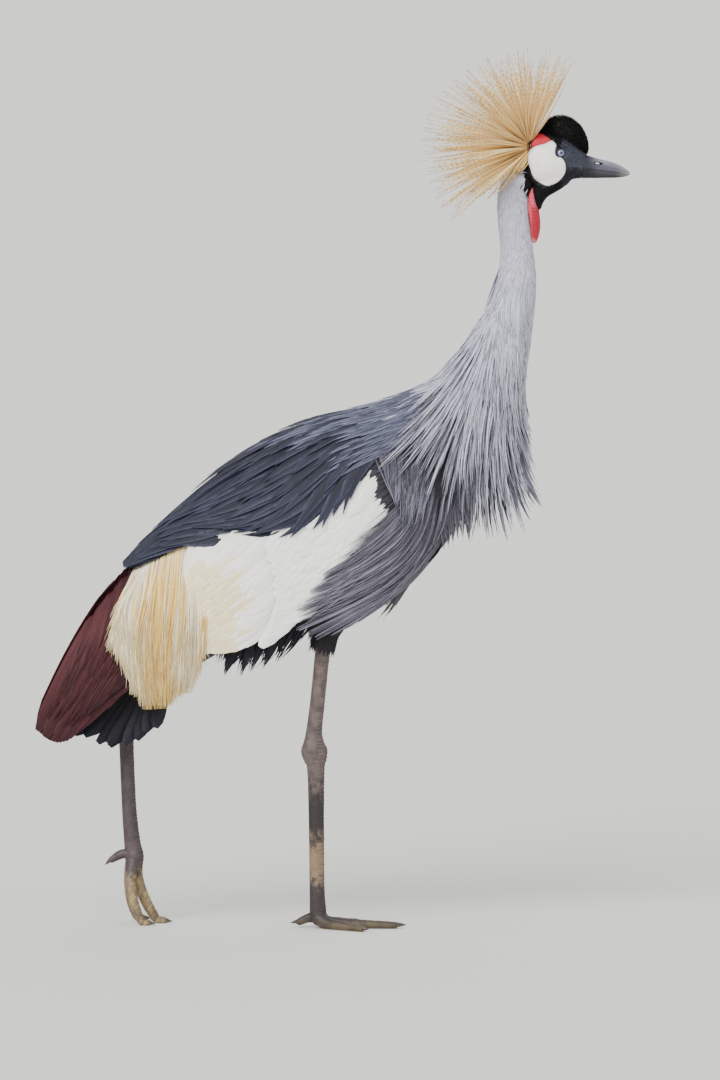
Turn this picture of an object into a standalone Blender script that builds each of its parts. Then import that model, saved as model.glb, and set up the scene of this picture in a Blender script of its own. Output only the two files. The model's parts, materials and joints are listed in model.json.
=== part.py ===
"""A grey crowned crane in mid-stride, life size, as a still museum model.

Metres, +Z up. The bird faces +X and its left side is +Y. The floor is Z = 0, and the origin is under the middle
of the box that holds the whole bird. Every place is a real size, worked out from the standing height.
"""

import math
import random

import bmesh
import bpy
from mathutils import Vector

GAP = 0.0003
MERGED_WITHIN = (0.00003, 0.00001, 0.00005, 0.000003, 0.0)
UP = Vector((0.0, 0.0, 1.0))
LEFT_WAY = Vector((0.0, 1.0, 0.0))
SIDES = {"right": -1.0, "left": 1.0}

# The body line runs from the tail's end to the back of the head. Each row is the line's place in the side plane,
# x and z, then how far the flesh reaches above and below it and to each side, and how far the cloak of folded
# wings over it reaches above, below and to each side.
BODY_LINE = (
    (-0.330, 0.205, 0.010, 0.010, 0.010, 0.044, 0.050, 0.044),
    (-0.312, 0.248, 0.014, 0.012, 0.014, 0.062, 0.070, 0.054),
    (-0.285, 0.298, 0.020, 0.014, 0.018, 0.069, 0.080, 0.062),
    (-0.240, 0.349, 0.036, 0.018, 0.024, 0.075, 0.090, 0.067),
    (-0.215, 0.368, 0.058, 0.028, 0.036, 0.083, 0.098, 0.070),
    (-0.171, 0.399, 0.078, 0.038, 0.050, 0.097, 0.108, 0.074),
    (-0.121, 0.434, 0.096, 0.064, 0.064, 0.107, 0.125, 0.079),
    (-0.065, 0.473, 0.111, 0.092, 0.075, 0.116, 0.138, 0.082),
    (-0.009, 0.509, 0.112, 0.107, 0.079, 0.116, 0.136, 0.084),
    (0.041, 0.542, 0.102, 0.092, 0.077, 0.105, 0.112, 0.080),
    (0.091, 0.576, 0.082, 0.074, 0.070, 0.084, 0.082, 0.072),
    (0.132, 0.608, 0.067, 0.060, 0.060, 0.069, 0.062, 0.062),
    (0.168, 0.644, 0.055, 0.052, 0.050, 0.057, 0.054, 0.052),
    (0.194, 0.686, 0.045, 0.042, 0.040, 0.047, 0.044, 0.042),
    (0.212, 0.731, 0.034, 0.031, 0.031, 0.036, 0.033, 0.033),
    (0.226, 0.774, 0.026, 0.026, 0.026, 0.028, 0.027, 0.027),
    (0.232, 0.815, 0.022, 0.022, 0.0215, 0.024, 0.023, 0.022),
    (0.230, 0.852, 0.019, 0.019, 0.0185, 0.020, 0.020, 0.019),
    (0.227, 0.890, 0.019, 0.0185, 0.0175, 0.020, 0.020, 0.018),
    (0.227, 0.918, 0.019, 0.018, 0.017, 0.020, 0.019, 0.018),
    (0.236, 0.944, 0.017, 0.017, 0.0165, 0.018, 0.018, 0.017),
)
LAST_STATION = len(BODY_LINE) - 1.0
TORSO_SQUARENESS = 2.5
NECK_SQUARENESS = 2.0
SQUARE_UNTIL, ROUND_FROM = 10.0, 13.0

TORSO_FROM, BREAST_FROM, NECK_FROM, NECK_MIDDLE_FROM, NECK_UPPER_FROM = 3.0, 9.6, 11.6, 14.2, 17.0
NECK_TOP = 20.0

PALE_GREY = (0.52, 0.54, 0.62)
SLATE = (0.085, 0.095, 0.13)
WHITE = (0.86, 0.84, 0.80)
GOLD = (0.80, 0.60, 0.30)
STRAW = (0.86, 0.74, 0.50)
CHESTNUT = (0.13, 0.045, 0.045)
BLACK = (0.012, 0.012, 0.016)
RED = (0.62, 0.03, 0.06)
BILL_GREY = (0.10, 0.11, 0.14)
LEG_GREY = (0.11, 0.085, 0.08)
EYE_BLUE = (0.45, 0.58, 0.72)
STREAMER_GREY = (0.20, 0.20, 0.25)


def clear_scene():
    for thing in list(bpy.data.objects):
        bpy.data.objects.remove(thing)


def material(name, colour, roughness):
    made = bpy.data.materials.new(name)
    made.use_nodes = True
    shader = made.node_tree.nodes["Principled BSDF"]
    shader.inputs["Base Color"].default_value = (*colour, 1.0)
    shader.inputs["Roughness"].default_value = roughness
    return made


def eased(points, t):
    """A point on the smooth curve through these points, at t counted in points."""
    last = len(points) - 1
    t = min(max(t, 0.0), float(last))
    i = min(int(t), last - 1)
    f = t - i
    a, b, c, d = (points[min(max(k, 0), last)] for k in (i - 1, i, i + 1, i + 2))
    return [
        0.5 * (2 * q + (r - p) * f + (2 * p - 5 * q + 4 * r - w) * f * f + (3 * q - p - 3 * r + w) * f**3)
        for p, q, r, w in zip(a, b, c, d)
    ]


def spread(points, share):
    """A point at a share from 0 to 1 of the curve through these points."""
    return eased(points, share * (len(points) - 1))


def level(values, share):
    """A value at a share from 0 to 1 of the curve through these values."""
    return spread([(v,) for v in values], share)[0]


def body_frame(s):
    """The body line's place, its way forward and its way up at s, and the sizes there."""
    row = eased(BODY_LINE, s)
    ahead = eased(BODY_LINE, s + 0.05)
    behind = eased(BODY_LINE, s - 0.05)
    forward = Vector((ahead[0] - behind[0], 0.0, ahead[1] - behind[1])).normalized()
    above = Vector((-forward.z, 0.0, forward.x))
    return Vector((row[0], 0.0, row[1])), forward, above, row[2:]


def body_speed(s):
    """How many metres one step of the body line is at s."""
    return (body_frame(s + 0.05)[0] - body_frame(s - 0.05)[0]).length / 0.1


def squareness(s):
    share = min(max((s - SQUARE_UNTIL) / (ROUND_FROM - SQUARE_UNTIL), 0.0), 1.0)
    return TORSO_SQUARENESS + (NECK_SQUARENESS - TORSO_SQUARENESS) * share


def section(sizes, upper, cloak):
    """How far the section reaches up or down, and its half width, for the flesh or the cloak over it."""
    first = 3 if cloak else 0
    return (sizes[first] if upper else sizes[first + 1]), sizes[first + 2]


def on_body(s, angle, lift=0.0, cloak=False):
    """A point on the body at s. The angle is 0 along the back, 180 along the belly, and above 0 on the left."""
    place, _, above, sizes = body_frame(s)
    power = squareness(s)
    cosine, sine = math.cos(math.radians(angle)), math.sin(math.radians(angle))
    tall, wide = section(sizes, cosine >= 0, cloak)
    high = math.copysign(abs(cosine) ** (2 / power), cosine)
    out = math.copysign(abs(sine) ** (2 / power), sine)
    return place + above * (tall + lift) * high + LEFT_WAY * (wide + lift) * out


def nearest_station(x, z):
    """How far along the body line the point x, z of the side plane lies, and its height above that line."""
    spot = Vector((x, 0.0, z))
    s = min(PLACES, key=lambda pair: (pair[1] - spot).length_squared)[0]
    for _ in range(2):
        place, forward, _, _ = body_frame(s)
        s += (spot - place).dot(forward) / max(body_speed(s), 1e-6)
        s = min(max(s, 0.0), LAST_STATION)
    place, _, above, _ = body_frame(s)
    return s, (spot - place).dot(above)


def on_side(x, z, side, lift=0.0, cloak=True):
    """The point of the body's side that the side view shows at x, z, pushed out by lift."""
    s, height = nearest_station(x, z)
    power = squareness(s)
    tall, wide = section(body_frame(s)[3], height >= 0, cloak)
    share = min(abs(height) / (tall + lift), 1.0)
    out = (1 - share**power) ** (1 / power)
    return Vector((x, side * (wide + lift) * out, z))


def side_spot(x, z, side):
    """The station and the angle of the cloak's surface that the side view shows at x, z."""
    s, height = nearest_station(x, z)
    tall, _ = section(body_frame(s)[3], height >= 0, True)
    share = min(abs(height) / tall, 1.0)
    cosine = math.copysign(share ** (squareness(s) / 2), height)
    return s, side * math.degrees(math.acos(cosine))


def mesh_object(name, points, faces, finish):
    mesh = bpy.data.meshes.new(name)
    mesh.from_pydata([tuple(p) for p in points], [], faces)
    mesh.materials.append(finish)
    shape = bmesh.new()
    shape.from_mesh(mesh)
    bmesh.ops.recalc_face_normals(shape, faces=shape.faces)
    shape.to_mesh(mesh)
    shape.free()
    made = bpy.data.objects.new(name, mesh)
    PARTS.objects.link(made)
    return made


def loft(name, rings, finish, tip=None, root=None):
    """A closed form through rings of equal count. An end without a point of its own is closed at its middle."""
    count = len(rings[0])
    points = [p for ring in rings for p in ring]
    faces = []
    for r in range(len(rings) - 1):
        a, b = r * count, (r + 1) * count
        for k in range(count):
            n = (k + 1) % count
            faces.append((a + k, a + n, b + n))
            faces.append((a + k, b + n, b + k))
    for start, end in ((0, root), ((len(rings) - 1) * count, tip)):
        if end is None and count == 4:
            faces.append((start, start + 1, start + 2))
            faces.append((start, start + 2, start + 3))
            continue
        ring = points[start:start + count]
        points.append(end if end is not None else sum(ring, Vector()) / count)
        middle = len(points) - 1
        faces += [(start + k, start + (k + 1) % count, middle) for k in range(count)]
    return mesh_object(name, points, faces, finish)


def slab(name, outer, inner, finish):
    """A closed sheet between two grids of points, split alike on both faces."""
    rows, columns = len(outer), len(outer[0])
    points = [p for row in outer for p in row] + [p for row in inner for p in row]
    under = rows * columns
    faces = []
    for r in range(rows - 1):
        for c in range(columns - 1):
            a, b = r * columns + c, (r + 1) * columns + c
            for base in (0, under):
                faces.append((base + a, base + a + 1, base + b + 1))
                faces.append((base + a, base + b + 1, base + b))
    rim = list(range(columns))
    rim += [r * columns + columns - 1 for r in range(1, rows)]
    rim += [(rows - 1) * columns + c for c in range(columns - 2, -1, -1)]
    rim += [r * columns for r in range(rows - 2, 0, -1)]
    for k, a in enumerate(rim):
        b = rim[(k + 1) % len(rim)]
        faces.append((a, b, under + b))
        faces.append((a, under + b, under + a))
    return mesh_object(name, points, faces, finish)


def ellipse_ring(centre, across, along, count):
    """A ring of points round centre, with its two half axes given as vectors."""
    turns = [2 * math.pi * k / count for k in range(count)]
    return [centre + across * math.cos(t) + along * math.sin(t) for t in turns]


def limb(name, stops, finish, count=11):
    """A closed limb through stops, each a place, a half size in the side plane and a half size across it."""
    places = [Vector(stop[0]) for stop in stops]
    rings = []
    for i, (place, half_fore, half_out) in enumerate(stops):
        ahead = (places[min(i + 1, len(places) - 1)] - places[max(i - 1, 0)]).normalized()
        fore = LEFT_WAY.cross(ahead).normalized()
        out = ahead.cross(fore).normalized()
        rings.append(ellipse_ring(Vector(place), fore * half_fore, out * half_out, count))
    return loft(name, rings, finish)


def enclosed(faces):
    """The space inside these faces, times six."""
    total = 0.0
    for face in faces:
        corners = [v.co for v in face.verts]
        for k in range(1, len(corners) - 1):
            total += corners[0].dot(corners[k].cross(corners[k + 1]))
    return abs(total)


def largest_surface(mesh):
    """Keeps only the closed surface that holds the most space, and merges its points that all but touch."""
    shape = bmesh.new()
    shape.from_mesh(mesh)
    left = set(shape.faces)
    groups = []
    while left:
        group, waiting = set(), [left.pop()]
        while waiting:
            face = waiting.pop()
            group.add(face)
            for edge in face.edges:
                for other in edge.link_faces:
                    if other in left:
                        left.discard(other)
                        waiting.append(other)
        groups.append(group)
    best = max(groups, key=enclosed)
    gone = [face for group in groups if group is not best for face in group]
    bmesh.ops.delete(shape, geom=gone, context="FACES")
    for distance in MERGED_WITHIN:
        merged = shape.copy()
        bmesh.ops.triangulate(merged, faces=merged.faces)
        bmesh.ops.remove_doubles(merged, verts=merged.verts, dist=distance)
        merged.to_mesh(mesh)
        closed = all(len(edge.link_faces) == 2 for edge in merged.edges)
        merged.free()
        if closed:
            break
    shape.free()


def combine(base, others, operation):
    """Applies one Boolean of base with all the others, which are then removed."""
    group = bpy.data.collections.new("tools")
    bpy.context.scene.collection.children.link(group)
    for thing in others:
        for home in list(thing.users_collection):
            home.objects.unlink(thing)
        group.objects.link(thing)
    step = base.modifiers.new("join", "BOOLEAN")
    step.operation = operation
    step.operand_type = "COLLECTION"
    step.collection = group
    step.solver = "MANIFOLD"
    graph = bpy.context.evaluated_depsgraph_get()
    mesh = bpy.data.meshes.new_from_object(base.evaluated_get(graph))
    base.modifiers.clear()
    base.data = mesh
    for thing in others:
        bpy.data.objects.remove(thing)
    bpy.data.collections.remove(group)
    largest_surface(mesh)
    return base


def grown(thing, by=GAP):
    """A copy of a piece, larger all over by this much, to cut its neighbour with."""
    shape = bmesh.new()
    shape.from_mesh(thing.data)
    shape.normal_update()
    moves = [v.normal * by * max(v.calc_shell_factor(), 1.0) for v in shape.verts]
    for v, move in zip(shape.verts, moves):
        v.co += move
    mesh = bpy.data.meshes.new("cutter")
    shape.to_mesh(mesh)
    shape.free()
    made = bpy.data.objects.new("cutter", mesh)
    PARTS.objects.link(made)
    return made


def cut_clear(thing, neighbours, by=GAP):
    """Cuts a piece so that it keeps the touching gap to its neighbours."""
    return combine(thing, [grown(n, by) for n in neighbours], "DIFFERENCE")


def keep_side(thing, side, finish):
    """Cuts a piece off just before the middle plane, so that right and left never meet."""
    low, high = sorted((side * MIDLINE_GAP, -side * 0.2))
    corners = [Vector((x, y, z)) for x in (-0.6, 0.6) for y in (low, high) for z in (-0.1, 1.2)]
    faces = [(0, 1, 3, 2), (4, 6, 7, 5), (0, 4, 5, 1), (2, 3, 7, 6), (0, 2, 6, 4), (1, 5, 7, 3)]
    return combine(thing, [mesh_object("half_space", corners, faces, finish)], "DIFFERENCE")


def jitter(size):
    """A small random amount, up to this size either way."""
    return random.uniform(-size, size)


# A feather wider than this gets a line down the middle of its underside too, so that it keeps its thickness.
BROAD = 0.008


def vane(path, normals, half_width, thick, finish, shape=(0.5, 1.0, 0.8), tip_share=0.0, roll=0.0):
    """A flat tapered feather along a path, with a low ridge on top. The shape gives its width; roll lifts an edge."""
    rings = []
    last = len(path) - 1
    for i, (place, normal) in enumerate(zip(path, normals)):
        ahead = (path[min(i + 1, last)] - path[max(i - 1, 0)]).normalized()
        across = normal.cross(ahead).normalized()
        lifted = ahead.cross(across).normalized()
        across, lifted = (across * math.cos(roll) + lifted * math.sin(roll),
                          lifted * math.cos(roll) - across * math.sin(roll))
        share = i / last
        wide = half_width * level(shape, min(share / 0.8, 1.0))
        deep = thick * (1 - 0.35 * share)
        if i == last:
            wide = half_width * tip_share
        ring = [place - across * wide, place + lifted * deep, place + across * wide]
        rings.append(ring + [place] if half_width > BROAD else ring)
    count = len(rings[0])
    strips = ((0, 1), (1, 2), (0, 3), (3, 2)) if count == 4 else ((0, 1), (1, 2), (0, 2))
    cap = ((0, 1, 3), (1, 2, 3)) if count == 4 else ((0, 1, 2),)
    if tip_share == 0.0:
        rings[-1] = [path[-1]]
    points = [p for ring in rings for p in ring]
    faces = list(cap)
    for i in range(last):
        a, b = count * i, count * (i + 1)
        if i == last - 1 and tip_share == 0.0:
            faces += [(a + near, a + far, b) for near, far in strips]
            continue
        for near, far in strips:
            faces += [(a + near, a + far, b + far), (a + near, b + far, b + near)]
    if tip_share > 0.0:
        faces += [tuple(count * last + k for k in face) for face in cap]
    return mesh_object("vane", points, faces, finish)


def lay(start, end, lifts, bow=0.0, pieces=4, cloak=True):
    """A path over the body from one station and angle to another, and the surface's normals along it."""
    path, normals = [], []
    for k in range(pieces + 1):
        share = k / pieces
        s = start[0] + (end[0] - start[0]) * share
        angle = start[1] + (end[1] - start[1]) * share + bow * 4 * share * (1 - share)
        lift = level(lifts, share)
        place = on_body(s, angle, lift, cloak)
        path.append(place)
        normals.append((on_body(s, angle, lift + 0.004, cloak) - place).normalized())
    return path, normals


def drape(start, end, side, lifts, fall=0.003, bow=0.0, pieces=4, cloak=True):
    """A path that the side view shows from start to end. It lies on the body and hangs free past its edge."""
    path, normals = [], []
    slope = Vector((end[0] - start[0], end[1] - start[1]))
    for k in range(pieces + 1):
        share = k / pieces
        x = start[0] + slope.x * share - slope.y * bow * 4 * share * (1 - share)
        z = start[1] + slope.y * share + slope.x * bow * 4 * share * (1 - share)
        place = on_side(x, z, side, level(lifts, share), cloak)
        if path:
            place.y = side * max(abs(place.y), abs(path[-1].y) - fall)
        path.append(place)
        normals.append(Vector((0.0, side, 0.0)))
    return path, normals


def body_length(name, start, end, finish, rings, count):
    """A length of the body's flesh from start to end, as one closed form."""
    made = []
    for k in range(rings + 1):
        s = start + (end - start) * k / rings
        made.append([on_body(s, 360 * a / count) for a in range(count)])
    return loft(name, made, finish)


def wing_spot(first, second, r, c, side):
    """The station and angle at a share r along two lines of the side view and c of the way between them."""
    a, b = side_spot(*spread(first, r), side), side_spot(*spread(second, r), side)
    return a[0] + (b[0] - a[0]) * c, a[1] + (b[1] - a[1]) * c


def sheet(name, first, second, side, lifts, finish, rows=10, columns=6):
    """A curved sheet over the wing between two lines of the side view, from one lift to another at each place."""
    grids = []
    for which in (1, 0):
        grid = []
        for r in range(rows + 1):
            row = []
            for c in range(columns + 1):
                s, angle = wing_spot(first, second, r / rows, c / columns, side)
                row.append(on_body(s, angle, lifts(r / rows, c / columns)[which], True))
            grid.append(row)
        grids.append(grid)
    return slab(name, grids[0], grids[1], finish)


# Locks of the neck hang over the shoulders and the breast. A tier is the station of its roots, the first and last
# angle round the neck, the line of its tips in the side view, how many locks a side, and how far they stand off.
HACKLE_TIERS = (
    (12.7, 50.0, 174.0,
     ((0.060, 0.585), (0.112, 0.560), (0.140, 0.525), (0.165, 0.500), (0.190, 0.505), (0.215, 0.478), (0.266, 0.530)),
     9, (-0.006, 0.009, 0.016, 0.021)),
    (13.4, 42.0, 174.0,
     ((0.088, 0.640), (0.130, 0.610), (0.165, 0.585), (0.200, 0.575), (0.232, 0.570), (0.258, 0.560)),
     7, (-0.006, 0.012, 0.019, 0.0235)),
    (13.95, 34.0, 172.0,
     ((0.128, 0.683), (0.160, 0.660), (0.195, 0.645), (0.225, 0.640), (0.246, 0.640)),
     5, (-0.006, 0.008, 0.0120, 0.0150)),
)
HACKLE_HALF_WIDTH, HACKLE_THICK = 0.0056, 0.0012
LOCK_ROLL = 0.17
# Locks that lie back over the shoulders: station and angle of their roots and tips, first and last.
BACK_HACKLES = 5
BACK_HACKLE_ROOTS = ((13.3, 10.0), (13.0, 38.0), (12.6, 62.0))
BACK_HACKLE_TIPS = ((9.3, 7.0), (9.0, 30.0), (9.9, 56.0))
BACK_HACKLE_LIFTS = (-0.006, 0.011, 0.0140, 0.0150)
# Streamers sweep back from the breast over the flank. A tier is a line of roots, a line of tips, how many a side
# and how far they stand off.
STREAMER_TIERS = (
    (((0.115, 0.600), (0.136, 0.570), (0.122, 0.535), (0.092, 0.505)),
     ((0.020, 0.488), (-0.022, 0.440), (-0.058, 0.406), (-0.010, 0.372), (0.022, 0.372)),
     8, (-0.006, 0.012, 0.0165, 0.0175)),
    (((0.135, 0.590), (0.145, 0.565), (0.128, 0.535)),
     ((0.060, 0.500), (0.030, 0.455), (0.035, 0.412), (0.070, 0.415)),
     4, (-0.006, 0.014, 0.0185, 0.0195)),
)
HANGING_ROOTS = ((0.135, 0.560), (0.160, 0.580))
HANGING_TIPS = ((0.126, 0.472), (0.152, 0.462), (0.180, 0.500))
BELLY_ROOTS = ((-0.130, 0.425), (-0.085, 0.432), (-0.045, 0.440), (-0.010, 0.447))
BELLY_TIPS = ((-0.140, 0.318), (-0.103, 0.310), (-0.062, 0.330), (-0.015, 0.358))
BELLY_LOCKS = 5
BELLY_LIFTS = (-0.006, 0.001, 0.001)


def side_locks(roots, tips, count, half_width, thick, lifts, finish, fall=0.003, bow=0.05, cloak=True, pieces=3):
    """Locks in a row along both sides, from a line of roots to a line of tips."""
    locks = []
    for side in SIDES.values():
        for k in range(count):
            share = (k + 0.5) / count
            start, end = spread(roots, share), spread(tips, share)
            end = (end[0] + jitter(0.004), end[1] + jitter(0.009))
            path, normals = drape(start, end, side, lifts, fall, bow + jitter(0.02), pieces, cloak)
            width = half_width * (1 + jitter(0.12))
            locks.append(vane(path, normals, width, thick, finish, (0.5, 1.0, 0.8), 0.0, LOCK_ROLL * side))
    return locks


def neck_root_line(s, first, last):
    """The side view's places of roots round one side of the neck."""
    spots = [on_body(s, first + (last - first) * k / 6, 0.0, True) for k in range(7)]
    return tuple((p.x, p.z) for p in spots)


def hackles(finish):
    """The long locks of the neck, in tiers that lie over each other."""
    locks = []
    for s, first, last, tips, count, lifts in HACKLE_TIERS:
        roots = neck_root_line(s, first, last)
        locks += side_locks(roots, tips, count, HACKLE_HALF_WIDTH, HACKLE_THICK, lifts, finish, 0.002, 0.03)
    for side in SIDES.values():
        for k in range(BACK_HACKLES):
            share = (k + 0.5) / BACK_HACKLES
            start, end = spread(BACK_HACKLE_ROOTS, share), spread(BACK_HACKLE_TIPS, share)
            path, normals = lay((start[0], side * start[1]), (end[0] + jitter(0.3), side * (end[1] + jitter(2))),
                                BACK_HACKLE_LIFTS, 0.0, 3)
            locks.append(vane(path, normals, HACKLE_HALF_WIDTH, HACKLE_THICK, finish, (0.5, 1.0, 0.8), 0.0,
                              -LOCK_ROLL * side))
    return locks


# Torso, breast and neck
def trunk():
    grey = material("neck_grey", PALE_GREY, 0.8)
    slate = material("breast_slate", STREAMER_GREY, 0.8)
    black = material("belly_black", BLACK, 0.8)
    made = {"torso": body_length("torso", TORSO_FROM, BREAST_FROM, black, 10, 16)}
    ends = (BREAST_FROM, NECK_FROM, NECK_MIDDLE_FROM, NECK_UPPER_FROM, NECK_TOP)
    lengths = (("breast", slate, 4, 18), ("neck_lower", grey, 5, 16), ("neck_middle", grey, 6, 14),
               ("neck_upper", grey, 6, 14))
    for (name, finish, rings, count), start, end in zip(lengths, ends, ends[1:]):
        made[name] = body_length(name, start + GAP / body_speed(start), end, finish, rings, count)
    belly = side_locks(BELLY_ROOTS, BELLY_TIPS, BELLY_LOCKS, 0.0105, 0.0020, BELLY_LIFTS, black, 0.0, 0.0, False)
    combine(made["torso"], belly, "UNION")
    streamers = side_locks(HANGING_ROOTS, HANGING_TIPS, 2, 0.007, 0.0014, (-0.006, 0.001, 0.002), slate, 0.004)
    for roots, tips, count, lifts in STREAMER_TIERS:
        streamers += side_locks(roots, tips, count, 0.0062, 0.0013, lifts, slate)
    combine(made["breast"], streamers, "UNION")
    combine(made["neck_lower"], hackles(grey), "UNION")
    return made


# Each row of the head is x, the middle height, the half height above it and below it, and the half width.
HEAD_ROWS = (
    (0.2415, 0.957, 0.010, 0.014, 0.010),
    (0.2470, 0.957, 0.019, 0.021, 0.0155),
    (0.2560, 0.957, 0.026, 0.026, 0.0185),
    (0.2680, 0.957, 0.031, 0.029, 0.0200),
    (0.2800, 0.957, 0.031, 0.027, 0.0185),
    (0.2920, 0.956, 0.027, 0.022, 0.0155),
    (0.3030, 0.953, 0.020, 0.0165, 0.0120),
    (0.3120, 0.950, 0.0155, 0.0125, 0.0095),
    (0.3180, 0.949, 0.0135, 0.0105, 0.0085),
)
HEAD_SIDES = 14
EYE_PLACE = Vector((0.2875, 0.0125, 0.968))
EYE_RADIUS = 0.0052


def head_row(x):
    """The head's sizes at x."""
    for i in range(len(HEAD_ROWS) - 1):
        a, b = HEAD_ROWS[i], HEAD_ROWS[i + 1]
        if x <= b[0] or i == len(HEAD_ROWS) - 2:
            share = (x - a[0]) / (b[0] - a[0])
            return eased(HEAD_ROWS, i + min(max(share, 0.0), 1.0))


def on_head(x, z, side, lift=0.0):
    """The point of the head's side that the side view shows at x, z."""
    _, middle, above, below, wide = head_row(x)
    tall = above if z >= middle else below
    share = min(abs(z - middle) / (tall + lift), 0.98)
    return Vector((x, side * (wide + lift) * math.sqrt(1 - share * share), z))


def head_form(name, finish):
    rings = []
    for row in range(10):
        x, middle, above, below, wide = spread(HEAD_ROWS, row / 9)
        ring = []
        for k in range(HEAD_SIDES):
            turn = 2 * math.pi * k / HEAD_SIDES
            tall = above if math.cos(turn) >= 0 else below
            ring.append(Vector((x, wide * math.sin(turn), middle + tall * math.cos(turn))))
        rings.append(ring)
    return loft(name, rings, finish)


def ball(name, centre, radius, finish, segments=10, rings=6):
    mesh = bpy.data.meshes.new(name)
    shape = bmesh.new()
    bmesh.ops.create_uvsphere(shape, u_segments=segments, v_segments=rings, radius=radius)
    bmesh.ops.triangulate(shape, faces=shape.faces)
    bmesh.ops.translate(shape, verts=shape.verts, vec=centre)
    shape.to_mesh(mesh)
    shape.free()
    mesh.materials.append(finish)
    made = bpy.data.objects.new(name, mesh)
    PARTS.objects.link(made)
    return made


# Rows of the cap are x, middle height, half height and half width.
CAP_ROWS = (
    (0.2600, 0.9950, 0.0035, 0.004),
    (0.2650, 0.9980, 0.0095, 0.0105),
    (0.2750, 0.9990, 0.0140, 0.0155),
    (0.2880, 0.9960, 0.0185, 0.0180),
    (0.3010, 0.9890, 0.0200, 0.0170),
    (0.3110, 0.9820, 0.0185, 0.0140),
    (0.3180, 0.9760, 0.0125, 0.0095),
    (0.3205, 0.9740, 0.0060, 0.0045),
)
# Rows of the bill are x, the mouth's height, the upper half's height above it, the lower half's depth below it
# and the half width.
BILL_ROWS = (
    (0.3183, 0.9480, 0.0145, 0.0100, 0.0084),
    (0.3290, 0.9475, 0.0120, 0.0085, 0.0070),
    (0.3400, 0.9465, 0.0095, 0.0080, 0.0058),
    (0.3510, 0.9452, 0.0080, 0.0070, 0.0046),
    (0.3610, 0.9440, 0.0060, 0.0050, 0.0032),
    (0.3675, 0.9432, 0.0035, 0.0024, 0.0019),
)
BILL_TIP = Vector((0.3706, 0.0, 0.9425))
NOSTRIL = Vector((0.3335, 0.0, 0.9535))


def bill_half(name, finish, upper):
    rings = []
    for x, mouth, above, below, wide in BILL_ROWS:
        height = above if upper else -below
        start = mouth + (GAP / 2 if upper else -GAP / 2)
        ring = []
        for k in range(10):
            turn = math.pi * k / 9
            ring.append(Vector((x, wide * math.cos(turn), start + height * math.sin(turn))))
        rings.append(ring)
    mouth_end = BILL_TIP.z + (GAP / 2 if upper else -GAP / 2)
    return loft(name, rings, finish, tip=Vector((BILL_TIP.x, 0.0, mouth_end)))


# Rows of the red throat lappet are z, its middle x, and its half sizes along X and Y.
WATTLE_ROWS = (
    (0.9190, 0.2520, 0.0050, 0.0060),
    (0.9060, 0.2530, 0.0058, 0.0068),
    (0.8930, 0.2545, 0.0062, 0.0070),
    (0.8800, 0.2555, 0.0060, 0.0066),
    (0.8680, 0.2550, 0.0048, 0.0052),
    (0.8590, 0.2530, 0.0026, 0.0030),
)
WATTLE_CREASE = 0.3


def wattle_ring(z, x, half_x, half_y):
    """A section of the lappet, with a crease down its front and its back between two lobes."""
    ring = []
    for k in range(12):
        turn = 2 * math.pi * k / 12
        size = 1 - WATTLE_CREASE * abs(math.cos(turn)) ** 6
        ring.append(Vector((x + half_x * math.cos(turn) * size, half_y * math.sin(turn), z)))
    return ring


CHEEK_MIDDLE = (0.2725, 0.950)
CHEEK_OUTLINE = (
    (0.2740, 0.9835), (0.2805, 0.9770), (0.2810, 0.9660), (0.2915, 0.9500), (0.2905, 0.9390), (0.2810, 0.9325),
    (0.2740, 0.9325), (0.2640, 0.9325), (0.2550, 0.9370), (0.2490, 0.9480), (0.2475, 0.9600), (0.2560, 0.9745),
    (0.2650, 0.9800),
)
CHEEK_LIFTS = (0.0026, 0.0014)


def cheek(name, side, finish):
    """The bare white cheek as a thin raised patch on the head's side."""
    middle = Vector(CHEEK_MIDDLE)
    spots = [middle] + [middle.lerp(Vector(p), share) for share in (0.6, 1.0) for p in CHEEK_OUTLINE]
    points = [on_head(p.x, p.y, side, lift) for lift in CHEEK_LIFTS for p in spots]
    count, under = len(CHEEK_OUTLINE), len(spots)
    faces = []
    for k in range(count):
        n = (k + 1) % count
        for base in (0, under):
            near, far = base + 1, base + 1 + count
            faces.append((base, near + k, near + n))
            faces.append((near + k, near + n, far + n))
            faces.append((near + k, far + n, far + k))
        faces.append((far - under + k, far - under + n, far + n))
        faces.append((far - under + k, far + n, far + k))
    return mesh_object(name, points, faces, finish)


LID_RADIUS, LID_HALF_THICK = 0.0050, 0.0009
GAPE = ((0.2935, 0.9505, 0.0134), (0.3195, 0.9482, 0.0070))
GAPE_HALF = 0.0004


def lid(side, finish):
    """The rim of the eyelids, a low ring round the eye."""
    way = Vector((0.22, side, 0.10)).normalized()
    across = way.cross(UP).normalized()
    up = across.cross(way).normalized()
    middle = Vector((EYE_PLACE.x, side * EYE_PLACE.y, EYE_PLACE.z)) + way * 0.0030
    around, section_points = 9, 4
    points, faces = [], []
    for k in range(around):
        turn = 2 * math.pi * k / around
        out = across * math.cos(turn) + up * math.sin(turn)
        points += ellipse_ring(middle + out * LID_RADIUS, out * LID_HALF_THICK, way * LID_HALF_THICK, section_points)
    for k in range(around):
        a, b = k * section_points, (k + 1) % around * section_points
        for j in range(section_points):
            n = (j + 1) % section_points
            faces.append((a + j, a + n, b + n))
            faces.append((a + j, b + n, b + j))
    return mesh_object("lid", points, faces, finish)


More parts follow.
